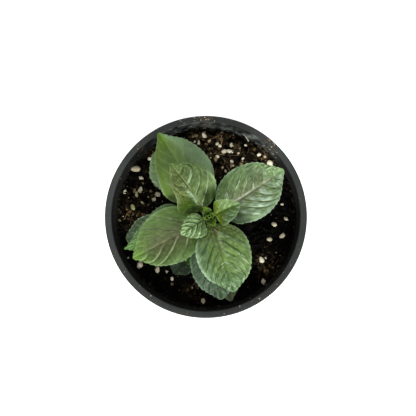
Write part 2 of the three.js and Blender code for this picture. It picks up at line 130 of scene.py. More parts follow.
def bearing(azimuth, pitch=0):
    turn, tilt = math.radians(azimuth), math.radians(pitch)
    flat = math.cos(tilt)
    return np.array([flat * math.cos(turn), flat * math.sin(turn), math.sin(tilt)])


def unit(vectors):
    return vectors / np.maximum(np.linalg.norm(vectors, axis=-1, keepdims=True), 1e-12)


def angles_of(count):
    return np.linspace(0, 2 * np.pi, count, endpoint=False)


def circle(radius, z, count, centre=(0, 0), turn=0):
    """Points round an upright axis. The radius may differ from point to point."""
    angle = angles_of(count) + turn
    x, y = centre[0] + radius * np.cos(angle), centre[1] + radius * np.sin(angle)
    return np.stack([x, y, np.broadcast_to(z, count)], -1)


# Seeded noise over a plane

COLUMN_STEP, ROW_STEP, SEED_STEP, LAST_STEP = 374761393, 668265263, 974634777, 1274126177
LOW_BITS = 0xFFFFFFFF
CELL_FREE, CELL_JITTER = 0.15, 0.7


def scramble(column, row, seed):
    """A number from 0 to 1 for each square of a grid."""
    n = column.astype(np.int64) * COLUMN_STEP + row.astype(np.int64) * ROW_STEP + seed * SEED_STEP
    n = n & LOW_BITS
    n = ((n ^ (n >> 13)) * LAST_STEP) & LOW_BITS
    return (n ^ (n >> 16)) / (LOW_BITS + 1)


def swell(x, y, size, seed):
    """Smooth noise from -1 to 1 whose lumps are size across."""
    x, y = x / size, y / size
    column, row = np.floor(x), np.floor(y)
    across, down = smoothstep(x - column, 0, 1), smoothstep(y - row, 0, 1)
    near = lerp(scramble(column, row, seed), scramble(column + 1, row, seed), across)
    far = lerp(scramble(column, row + 1, seed), scramble(column + 1, row + 1, seed), across)
    return 2 * lerp(near, far, down) - 1


def rough(x, y, size, seed, octaves=4, fade=0.5):
    """Noise with finer and finer lumps on its lumps."""
    return sum(fade ** k * swell(x, y, size / 2 ** k, seed + 17 * k) for k in range(octaves))


def cells(x, y, size, seed):
    """The distance to the border of a random mesh of cells, 0 at the border."""
    column, row = np.floor(x / size), np.floor(y / size)
    found = []
    for i in (-1, 0, 1):
        for j in (-1, 0, 1):
            px = (column + i + CELL_FREE + CELL_JITTER * scramble(column + i, row + j, seed)) * size
            py = (row + j + CELL_FREE + CELL_JITTER * scramble(column + i, row + j, seed + 5)) * size
            found.append(np.hypot(x - px, y - py))
    found = np.sort(np.stack(found), axis=0)
    return (found[1] - found[0]) / 2


# Curves and blades, by the same rules as the solids

CURVE_POINTS = 401


def bend(start, tip, azimuth, rise, heading, pitch):
    """A curve that leaves its start and reaches its tip in given directions."""
    reach = TANGENT_SHARE * np.linalg.norm(tip - start)
    leaving = start + bearing(azimuth, rise) * reach
    arriving = tip - bearing(heading, pitch) * reach
    t = np.linspace(0, 1, CURVE_POINTS)[:, None]
    rest = 1 - t
    points = rest ** 3 * start + 3 * rest ** 2 * t * leaving + 3 * rest * t * t * arriving + t ** 3 * tip
    slopes = rest ** 2 * (leaving - start) + 2 * rest * t * (arriving - leaving) + t * t * (tip - arriving)
    steps = np.linalg.norm(np.diff(points, axis=0), axis=1)
    return {"points": points, "slopes": unit(slopes), "run": np.concatenate([[0], np.cumsum(steps)])}


def along(curve, share):
    """The place on a curve at shares of its length, with the directions to the left and up from it."""
    at = np.asarray(share) * curve["run"][-1]

    def read(values):
        return np.stack([np.interp(at, curve["run"], values[:, k]) for k in range(3)], -1)

    forward = unit(read(curve["slopes"]))
    left = unit(np.cross(np.array([0.0, 0.0, 1.0]), forward))
    return read(curve["points"]), left, np.cross(forward, left)


def stem_axis(z):
    share = max(0, (z - SOIL_TOP) / STEM_RISE) ** STEM_LEAN_POWER
    return np.array([STEM_LEAN[0] * share, STEM_LEAN[1] * share, z])


def stem_half(z):
    share = min(max((z - SOIL_TOP) / STEM_RISE, 0), 1)
    return lerp(STEM_HALF_BASE, STEM_HALF_TOP, share)


def outline(shape, s):
    rounding, taper = shape
    widest = rounding / (rounding + taper)
    peak = widest ** rounding * (1 - widest) ** taper
    return s ** rounding * (1 - s) ** taper / peak


def crowded(count, crowd=0.5):
    """Shares from 0 to 1, closer together at both ends."""
    k = np.arange(count + 1) / count
    return lerp(k, (1 - np.cos(np.pi * k)) / 2, crowd)


# How the fine blades are divided, and the depths of their details in millimetres
STALK_ROWS = 8
BASE_ROWS = 22
PANEL_ROWS = 20
SIDE_COLUMNS = 27
LEAST_ROWS = (3, 4)
LEAST_COLUMNS = 5
CREST_SHARE = 0.26
CREST_FALL = 0.85
PANEL_ROOM = 5
PUFF_LIMITS = (0.4, 1.6)
ROWS_APART = (0.02, 0.12)
NARROW = 4
TOOTH_PITCH = 2.6
TOOTH_RISE = 0.7
TOOTH_DEPTH = 0.42
TOOTH_REACH = 8
TEETH_COME, TEETH_GO = (0.1, 0.3), (0.97, 1)
BLADE_THICKNESS = 0.5
EDGE_THICKNESS = 0.22
MIDRIB_DEPTH = 0.85
VEIN_DEPTH = 0.3
STALK_THICKNESS = 1.5
STALK_FLARE = 0.25
STALK_CHANNEL = 0.3

# What lies along a side vein or the midrib: how far from its middle and how wide, for a girth of 1
VEIN_WIDTH = 0.32
STREAK_AT, STREAK_WIDTH = 0.4, 0.24
CREASE_AT, CREASE_WIDTH = 0.15, 0.26
RIB_WIDTH = 0.48
UNDER_RIB_WIDTH = 0.75
BESIDE_RIB_AT, BESIDE_RIB_WIDTH = 0.75, 0.35
VEIN_STEPS = 70
FAR_OFF = 9.0

# Where details come or go: shares of the half width, of the length, of a panel and of a panel's room
NEAR_MARGIN = (0.78, 0.98)
VEIN_STARTS = (0, 0.04)
MID_PANEL = (0.35, 0.65)
PANEL_OPENS = (0.1, 0.4)

# The pockets between the smallest veins: how they are stretched along and across, and how soon they rise
POCKET_STRETCH = (1.15, 0.9)
POCKET_BEND = 0.3
POCKET_SLOPE = 0.36

LEFT, RIGHT = 1, -1
UNDER_DULL = 0.62


def vein_margins(leaf):
    """Where the side veins meet the margin, as shares of the blade's length, and the tip."""
    origins = (np.arange(leaf["panels"] + 1) + BASAL_VEIN) / (leaf["panels"] + BASAL_VEIN)
    return origins ** (1 / leaf["veins"][0])


def crest_height(share):
    """A panel's height over its two veins: it rises soon after the first and falls slowly to the second."""
    past = np.clip((share - CREST_SHARE) / (1 - CREST_SHARE), 0, 1)
    return smoothstep(share, 0, CREST_SHARE) * np.cos(np.pi / 2 * past) ** CREST_FALL


def blade_rows(leaf):
    """For each row of a blade: where it meets the margin, its share of its panel and the panel's height."""
    veins, fine = vein_margins(leaf), leaf["fine"]
    share = np.arange(1, round(BASE_ROWS * fine)) / round(BASE_ROWS * fine)
    rows = [np.stack([veins[0] * share, share, 0.5 * np.sin(np.pi * share)])]
    for j in range(leaf["panels"]):
        share = crowded(max(round(PANEL_ROWS * fine), LEAST_ROWS[1]))[:-1]
        rows.append(np.stack([lerp(veins[j], veins[j + 1], share), share, crest_height(share)]))
    rows.append(np.array([[1.0], [0.0], [0.0]]))
    return np.concatenate(rows, axis=1)


def share_along(leaf, margin, a):
    """How far along the blade a vein that meets the margin at a given share is, at a share of the half width."""
    sweep, leaves = leaf["veins"]
    origin = margin ** sweep
    return origin + (margin - origin) * (leaves * a + (1 - leaves) * a * a)


def along_blade(leaf, curve, s):
    """The midrib's place, left and up at shares of the blade's length."""
    stalk_share = leaf["stalk"] / curve["run"][-1]
    return along(curve, stalk_share + (1 - stalk_share) * s)


def blade(leaf, curve, margin, t, puff=0, tooth=0):
    """Points of a blade's upper face, with their share of its length and the half width there."""
    a, side = np.abs(t), (t < 0).astype(int)
    s = share_along(leaf, margin, a)
    place, left, up = along_blade(leaf, curve, s)
    half = lerp(STALK_HALF * leaf["girth"], TIP_HALF, s) + tooth * a ** TOOTH_REACH
    rounded = np.array(leaf["halves"])[side] * outline(leaf["shape"], s)
    half = half + rounded * (1 - TIP_POINT * smoothstep(s, TIP_FROM, 1))
    opening = OPENING_AT_BASE + (1 - OPENING_AT_BASE) * smoothstep(s, 0, OPEN_BY)
    lift = np.radians(np.array(leaf["lift"])[side] * opening)
    out = half * a * np.cos(lift)
    over = half * (a * np.sin(lift) - np.array(leaf["curl"])[side] * a * a * opening)
    over = over + leaf["quilt"] * puff * (1 - (1 - a) ** 4) * (1 - MARGIN_FLATNESS * a ** 4)
    return place + left * (np.sign(t) * out)[..., None] + up * over[..., None], s, half


def softened(grid, passes):
    """A grid of vectors evened out over its neighbours."""
    for _ in range(passes):
        wide = np.pad(grid, ((1, 1), (1, 1), (0, 0)), "edge")
        grid = (wide[:-2, 1:-1] + wide[2:, 1:-1] + wide[1:-1, :-2] + wide[1:-1, 2:] + 4 * grid) / 8
    return grid


def normals_of(grid, passes):
    """Softened upward normals of a grid whose rows run out from the stalk and columns from left to right."""
    ahead = np.empty_like(grid)
    ahead[1:-1] = grid[2:] - grid[:-2]
    ahead[0], ahead[-1] = grid[1] - grid[0], grid[-1] - grid[-2]
    across = np.empty_like(grid)
    across[:, 1:-1] = grid[:, :-2] - grid[:, 2:]
    across[:, 0], across[:, -1] = grid[:, 0] - grid[:, 1], grid[:, -2] - grid[:, -1]
    return unit(softened(np.cross(ahead, across), passes))


AT_ONCE = 2000


def nearest(points, line):
    """The distance from each point to the closest of a line's points."""
    flat = points.reshape(-1, 3)
    parts = np.array_split(flat, len(flat) // AT_ONCE + 1)
    found = [np.sqrt(((part[:, None] - line[None]) ** 2).sum(-1)).min(1) for part in parts]
    return np.concatenate(found).reshape(points.shape[:-1])


def teeth(edge_points, margin):
    """How far each row's end stands out or in along one margin."""
    steps = np.linalg.norm(np.diff(edge_points, axis=0), axis=1)
    q = np.concatenate([[0], np.cumsum(steps)]) / TOOTH_PITCH % 1
    saw = np.where(q < TOOTH_RISE, q / TOOTH_RISE, (1 - q) / (1 - TOOTH_RISE)) - 0.5
    return TOOTH_DEPTH * saw * smoothstep(margin, *TEETH_COME) * faded(margin, *TEETH_GO)


def closed_sheet(top, bottom):
    """The faces of a thin solid between two grids of points."""
    rows, columns = top.shape[:2]
    upper = np.arange(rows * columns).reshape(rows, columns)
    lower = upper + rows * columns

    def quads(a, b, c, d):
        return np.stack([a.ravel(), b.ravel(), c.ravel(), d.ravel()], -1)

    faces = [
        quads(upper[:-1, :-1], upper[:-1, 1:], upper[1:, 1:], upper[1:, :-1]),
        quads(lower[:-1, 1:], lower[:-1, :-1], lower[1:, :-1], lower[1:, 1:]),
        quads(upper[:-1, 0], upper[1:, 0], lower[1:, 0], lower[:-1, 0]),
        quads(lower[:-1, -1], lower[1:, -1], upper[1:, -1], upper[:-1, -1]),
        quads(upper[0, :-1], lower[0, :-1], lower[0, 1:], upper[0, 1:]),
        quads(upper[-1, 1:], lower[-1, 1:], lower[-1, :-1], upper[-1, :-1]),
    ]
    return np.concatenate([top.reshape(-1, 3), bottom.reshape(-1, 3)]), faces


def mixed(base, colour, share):
    return base + (np.asarray(colour) - base) * np.asarray(share)[..., None]


def by_half(t, pair):
    """The first of a pair on a leaf's left half and the second on its right."""
    return np.where(t > 0, *pair)


def part_of(points, faces, tint, flat, dull):
    """Points and faces, with the colour, the place for textures and the dullness of each point."""
    count = len(points)
    return {
        "points": points, "faces": faces, "tint": np.ones((count, 3)) * tint, "flat": flat,
        "dull": np.ones(count) * dull,
    }


def blade_grid(leaf, curve, seed):
    """The upper face of a blade, and where each of its points lies.

    Rows run out from the stalk and columns from the left margin to the right. t is the share of the half width,
    above 0 on the left, and a is t without its sign. s is the share of the length, u and v are millimetres
    along and across, share is the place in a panel between two veins, and room tells how far apart these are.
    """
    look, girth = leaf["look"], leaf["girth"]
    margin, share, puff = blade_rows(leaf)
    side = crowded(max(round(SIDE_COLUMNS * leaf["fine"]), LEAST_COLUMNS))
    t = np.concatenate([side[:0:-1], [0], -side[1:]])[None, :]
    a = np.abs(t)
    bare, s, half = blade(leaf, curve, margin[:, None], t)
    length = curve["run"][-1] - leaf["stalk"]
    u, v = s * length, t * half
    panel = np.cumsum(np.diff(share, prepend=share[0]) < 0)[:, None]
    ends = np.concatenate([[0], vein_margins(leaf), [1]])
    room = length * (share_along(leaf, ends[panel + 1], a) - share_along(leaf, ends[panel], a))
    room = np.clip(room / (PANEL_ROOM * girth), 0, 1)
    uneven = rough(u, v, 7, seed + 25, 2) + 0.5 * swell(panel, np.sign(t), 0.5, seed + 27)
    ridges = by_half(t, look["ridges"])
    puff = puff[:, None] * np.clip(1 + look["uneven"] * uneven, *PUFF_LIMITS) * room * ridges
    tooth = by_half(t, [teeth(bare[:, end], margin)[:, None] for end in (0, -1)])
    surface, s, half = blade(leaf, curve, margin[:, None], t, puff, tooth * girth)
    return SimpleNamespace(
        surface=surface, bare=bare, t=t, a=a, s=s, u=u, v=v, half=half, panel=panel, share=share[:, None],
        room=room, ridges=ridges, from_rib=half * a,
    )


def vein_distance(leaf, curve, grid, seed):
    """Millimetres from each point of a blade to the nearest side vein, which wanders a little."""
    u, v = grid.u, grid.v
    wander = np.stack([swell(u, v, 4, seed + 29), swell(u, v, 4, seed + 31), 0 * u], -1)
    places = grid.bare + wander * leaf["look"]["wander"] * leaf["girth"]
    found = np.full(grid.s.shape, FAR_OFF)
    steps = np.linspace(0, 1, VEIN_STEPS)
    for half in (LEFT, RIGHT):
        lines = [blade(leaf, curve, np.full(VEIN_STEPS, m), half * steps)[0] for m in vein_margins(leaf)[:-1]]
        part = np.sign(grid.t[0]) == half
        found[:, part] = nearest(places[:, part], np.concatenate(lines))
    return found


def add_details(g, leaf, curve, seed):
    """Adds how strong the veins, the streaks and creases beside them, the midrib and the pockets are."""
    look, girth = leaf["look"], leaf["girth"]
    from_vein = vein_distance(leaf, curve, g, seed)
    spread, started = smoothstep(g.room, *PANEL_OPENS), smoothstep(g.s, *VEIN_STARTS)
    g.fading = faded(g.a, *NEAR_MARGIN)
    g.vein = bell(from_vein, 0, VEIN_WIDTH * girth) * g.fading * started
    crease = bell(from_vein, CREASE_AT * girth, CREASE_WIDTH * girth)
    g.crease = crease * smoothstep(g.share, *MID_PANEL) * spread * g.fading
    streak = bell(from_vein, STREAK_AT * girth, STREAK_WIDTH * girth)
    streak = streak * faded(g.share, *MID_PANEL) * spread * faded(g.a, 0.78, 1) * started
    streak = streak * (1 + 0.4 * swell(1.7 * g.panel, 1.3 * np.sign(g.t), 1, seed + 41))
    streak = streak * (0.75 + 0.7 * rough(g.u, g.v, 2.5, seed + 21, 2))
    g.streak = streak * (1 - look["streak_fade"] * smoothstep(g.s, 0.55, 0.8))
    g.rib = bell(g.from_rib, 0, RIB_WIDTH * girth) * faded(g.s, 0.7, 0.95)
    g.under_rib = bell(g.from_rib, 0, UNDER_RIB_WIDTH * girth) * (1 - g.s) ** 0.7
    g.inside = smoothstep(g.from_rib, 0.2, 1.6) * faded(g.a, 0.9, 1)
    size = look["pocket"]
    bend_u, bend_v = (POCKET_BEND * size * rough(g.u, g.v, 0.7 * size, seed + k, 2) for k in (35, 37))
    u, v = g.u * POCKET_STRETCH[0] + bend_u, g.v * POCKET_STRETCH[1] + bend_v
    g.pocket = domed(cells(u, v, size, seed) / (POCKET_SLOPE * size))


def relief_over(g, look, girth, seed):
    """Fine relief: pockets and crinkles, grooves along the veins, and slow waves over blade and margin."""
    crinkle = (g.pocket - 0.6 + 0.6 * rough(g.u, g.v, 2.6, seed + 3, 3)) * g.inside
    groove = g.ridges * (0.6 * g.streak - np.maximum(g.vein, g.crease)) - 0.8 * g.rib
    apart = np.linalg.norm(np.gradient(g.surface, axis=0), axis=-1)
    relief = (look["crinkle"] * crinkle + look["groove"] * groove) * smoothstep(apart, *ROWS_APART)
    relief = relief + look["sway"] * swell(g.u, g.v, 13, seed + 7) * smoothstep(g.s, 0, 0.3)
    margin_wave = swell(g.u, 40 * np.sign(g.v), 6, seed + 9) * g.a ** 3
    relief = relief + look["wave"] * margin_wave * smoothstep(g.s, 0.05, 0.3)
    return relief * np.clip(g.half / (NARROW * girth), 0, 1) * girth ** 0.5


def stalk_grid(leaf, curve, t, thickness):
    """The stalk, channelled above and round below, with its foot in the stem."""
    girth, a = leaf["girth"], np.abs(t)
    count = max(round(STALK_ROWS * leaf["fine"]), LEAST_ROWS[0])
    i = np.arange(count + 1)[:, None] / count
    place, left, up = along(curve, leaf["stalk"] / curve["run"][-1] * i * np.ones_like(t))
    place = place - np.cross(left, up) * (leaf["foot"] * (1 - i) ** 2)[..., None]
    v = t * STALK_HALF * girth * (1 + STALK_FLARE * (1 - i) ** 3)
    channel = STALK_CHANNEL * girth * (1 - a * a) * np.sin(np.pi * np.clip(i, 0.15, 1))
    top = place + left * v[..., None] - up * channel[..., None]
    rounded = STALK_THICKNESS * girth * np.sqrt(np.clip(1 - 0.94 * a ** 2.4, 0, 1))
    bottom = top - up * lerp(rounded, thickness, smoothstep(i, 0.55, 1.05))[..., None]
    return SimpleNamespace(top=top, bottom=bottom, i=i, u=(i - 1) * leaf["stalk"] * np.ones_like(t), v=v)


def patch_layers(patches, g):
    """Each patch's colour and how strong it is over a blade."""
    for one in patches:
        comes, here, goes, gone = one["run"]
        share = one["share"] * smoothstep(g.a, *one["across"]) * (np.sign(g.t) == one["half"])
        yield one["colour"], share * smoothstep(g.s, comes, here) * faded(g.s, goes, gone)


def blade_tint(g, look, girth, seed):
    """The colour of each point of a blade's upper face, from layers laid one over another."""
    s, a, t, u, v = g.s, g.a, g.t, g.u, g.v
    # The darkest painted shade, for the creases and beside the midrib.
    darkest, reach = look["deep"] * 0.7, look["base_reach"]
    slope = bell(g.share, 1, 0.3) * smoothstep(g.from_rib, 0.3, 2) * g.fading * g.room
    blotch = np.clip(0.55 + 0.9 * rough(u, v, 2.2, seed + 23, 3), 0, 1.4)
    wide = by_half(t, look["crest"])
    crest = bell(g.share, 1.1 * wide, wide) * faded(a, 0.75, 1) * smoothstep(g.from_rib, 0.3, 1.5) * g.room
    shine = bell(g.from_rib, 1.6, 1.3) * smoothstep(s, 0.06, 0.2) * faded(s, 0.4, 0.7)
    blush = bell(g.from_rib, 0, look["blush_reach"]) * smoothstep(s, 0.08, 0.3) * faded(s, 0.6, 0.95)
    rib = g.rib * (0.8 + 0.5 * swell(u, v, 2.5, seed + 33)) * faded(s, *look["rib_fades"])
    beside = bell(g.from_rib, BESIDE_RIB_AT * girth, BESIDE_RIB_WIDTH * girth) * (t < 0) * faded(s, 0.5, 0.8)
    layers = [
        (look["tip"], look["tip_share"] * smoothstep(s, 0.62, 1)),
        # Paler margins: partly the leaf's own colour, partly a painted sheen.
        (look["edge"], look["edge_share"] * smoothstep(a, 0.6, 1)),
        *patch_layers(look["patches"], g),
        # Darker, more saturated green towards the stalk: painted shade near the stem.
        (look["base"], look["base_share"] * faded(s, 0.3 * reach, reach)),
        # Painted shade on the slope of each panel that falls to the next vein.
        (look["deep"], look["deep_share"] * 0.4 * slope),
        # Painted highlights on the crest of each panel.
        (look["bloom"], by_half(t, look["bloom_share"]) * crest * blotch),
        # A painted highlight along the margin.
        (look["bloom"], look["rim"] * smoothstep(a, 0.9, 1) * smoothstep(s, 0.05, 0.2)),
        # A painted highlight in a band beside the midrib, in the vein colour.
        (look["vein"], by_half(t, look["shine"]) * shine * blotch),
        # Painted shade in the hollows between the pockets.
        (look["deep"], look["deep_share"] * 0.7 * (1 - g.pocket) * g.inside),
        # Painted highlights on the tops of the pockets.
        (look["bloom"], look["fleck"] * g.pocket ** 4 * g.inside * np.clip(blotch, 0, 1)),
        # Painted shade in the crease beside each vein.
        (darkest, by_half(t, look["crease"]) * g.crease),
        *patch_layers(look["covers"], g),
        (look["blush"], look["blush_share"] * blush),
        # A pale streak beside each vein: the vein's own paler colour, with a painted highlight where the panel
        # rises from it.
        (look["vein"], by_half(t, look["vein_share"]) * g.streak),
        (look["rib"], look["rib_share"] * rib),
        # Painted shade in a band beside the midrib on the right half.
        (darkest, look["deep_share"] * beside),
    ]
    tint = np.ones((*s.shape, 3)) * look["blade"]
    for colour, share in layers:
        tint = mixed(tint, colour, np.clip(share, 0, 1))
    mottle = 0.1 * rough(u, v, 5, seed + 11, 3) + look["fleck"] * rough(u, v, 1.3, seed + 39, 2)
    return tint * (1 + mottle)[..., None]


def leaf_part(leaf, curve, seed):
    """One leaf with its stalk."""
    look, girth = leaf["look"], leaf["girth"]
    g = blade_grid(leaf, curve, seed)
    add_details(g, leaf, curve, seed)
    top = g.surface + normals_of(g.surface, 8) * relief_over(g, look, girth, seed)[..., None]
    thickness = lerp(BLADE_THICKNESS, EDGE_THICKNESS, g.a ** 3)
    thickness = thickness + girth * (MIDRIB_DEPTH * g.under_rib + VEIN_DEPTH * g.vein)
    up_from_rib = along_blade(leaf, curve, g.s)[2]
    down = unit(mixed(-normals_of(g.surface, 24), -up_from_rib, faded(g.s, 0, 0.08)))
    bottom = top + down * thickness[..., None]
    stalk = stalk_grid(leaf, curve, g.t, thickness[0])
    points, faces = closed_sheet(np.concatenate([stalk.top, top]), np.concatenate([stalk.bottom, bottom]))

    tint = blade_tint(g, look, girth, seed)
    under = mixed(tint, look["under"], 0.7)
    under = mixed(under, look["vein"], np.clip(g.vein + g.under_rib, 0, 1) * 0.5)
    stalk_tint = mixed(np.ones(stalk.top.shape) * look["stalk"], tint[0], smoothstep(stalk.i, 0.7, 1))
    tint = np.concatenate([stalk_tint, tint, stalk_tint, under]).reshape(-1, 3)
    u, v = np.concatenate([stalk.u, g.u]), np.concatenate([stalk.v, g.v])
    flat = np.stack([u, v, np.full(u.shape, seed * 10.0)], -1).reshape(-1, 3)
    flat = np.concatenate([flat, flat + np.array([0, 0, 5.0])])
    return part_of(points, faces, tint, flat, np.repeat([look["dull"], UNDER_DULL], len(flat) // 2))


def joined(parts):
    """Several parts as one."""
    start, faces = 0, []
    for part in parts:
        faces.extend(block + start for block in part["faces"])
        start += len(part["points"])
    whole = {key: np.concatenate([p[key] for p in parts]) for key in ("points", "tint", "flat", "dull")}
    return {**whole, "faces": faces}


def placed(name, data):
    """A new object in the scene."""
    made = bpy.data.objects.new(name, data)
    bpy.context.collection.objects.link(made)
    return made


def mesh_of(name, part):
    mesh = bpy.data.meshes.new(name)
    faces = [face for block in part["faces"] for face in block.tolist()]
    mesh.from_pydata((part["points"] * MM).tolist(), [], faces)
    return mesh


def piece(name, part, material, replaced=(), sharp=50):
    """A Blender object from a part, riding on the plant."""
    mesh = mesh_of(name, part)
    rgba = np.concatenate([part["tint"], np.ones((len(part["tint"]), 1))], axis=1)
    mesh.color_attributes.new("tint", "FLOAT_COLOR", "POINT").data.foreach_set("color", rgba.ravel())
    mesh.attributes.new("flat", "FLOAT_VECTOR", "POINT").data.foreach_set("vector", part["flat"].ravel())
    mesh.attributes.new("dull", "FLOAT", "POINT").data.foreach_set("value", part["dull"])
    mesh.shade_smooth()
    mesh.set_sharp_from_angle(angle=math.radians(sharp))
    mesh.materials.append(material)
    made = placed(name, mesh)
    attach(made, "root")
    if replaced:
        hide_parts(*replaced)
    return made


# The looks of the blades. Colours are written from 0 to 255, and pairs of numbers are for the left and the right
# half. A patch is a second colour: in which half, how much, between which shares of the half width it comes up,
# and where along the blade it comes and goes.
COLOURS = ("blade", "tip", "edge", "base", "deep", "bloom", "blush", "vein", "rib", "under", "stalk")
# The dark shade green in these looks is painted shade, and the pale grey-green highlight colour is for painted
# highlights.
ANY_LOOK = dict(
    blade=(90, 114, 62), tip=(98, 128, 60), edge=(104, 130, 84), deep=(58, 80, 20), bloom=(140, 162, 128),
    blush=(106, 98, 76), vein=(152, 168, 130), under=(132, 150, 112), stalk=(112, 122, 70),
    tip_share=0.6, edge_share=0.35, deep_share=0.5, base_share=0.6, base_reach=0.3, bloom_share=(0.3, 0.3),
    blush_share=0, blush_reach=4, vein_share=(0.1, 0.1), rib_share=0.3, rib_fades=(0.7, 1), streak_fade=0,
    crest=(0.12, 0.12), crease=(0.45, 0.45), shine=(0, 0), ridges=(1, 1), rim=0.3, fleck=0.08, dull=0.42,
    crinkle=0.14, pocket=2.4, groove=0.22, sway=0.3, wave=0.35, wander=0.45, uneven=0.5, patches=(), covers=(),
)


def look_of(**own):
    look = {**ANY_LOOK, **own}
    look.setdefault("base", look["deep"])
    look.setdefault("rib", look["vein"])
    look.update({name: linear(*look[name]) for name in COLOURS})
    return look


def patch(half, colour, share, across=(0, 0.5), run=(0, 0.1, 0.9, 1)):
    return {"half": half, "colour": linear(*colour), "share": share, "across": across, "run": run}


ANY_LEAF = dict(
    girth=1, foot=1.2, fine=1, veins=VEINS, panels=4, lift=(6, 6), curl=(0.1, 0.1), shape=(0.55, 0.78),
)

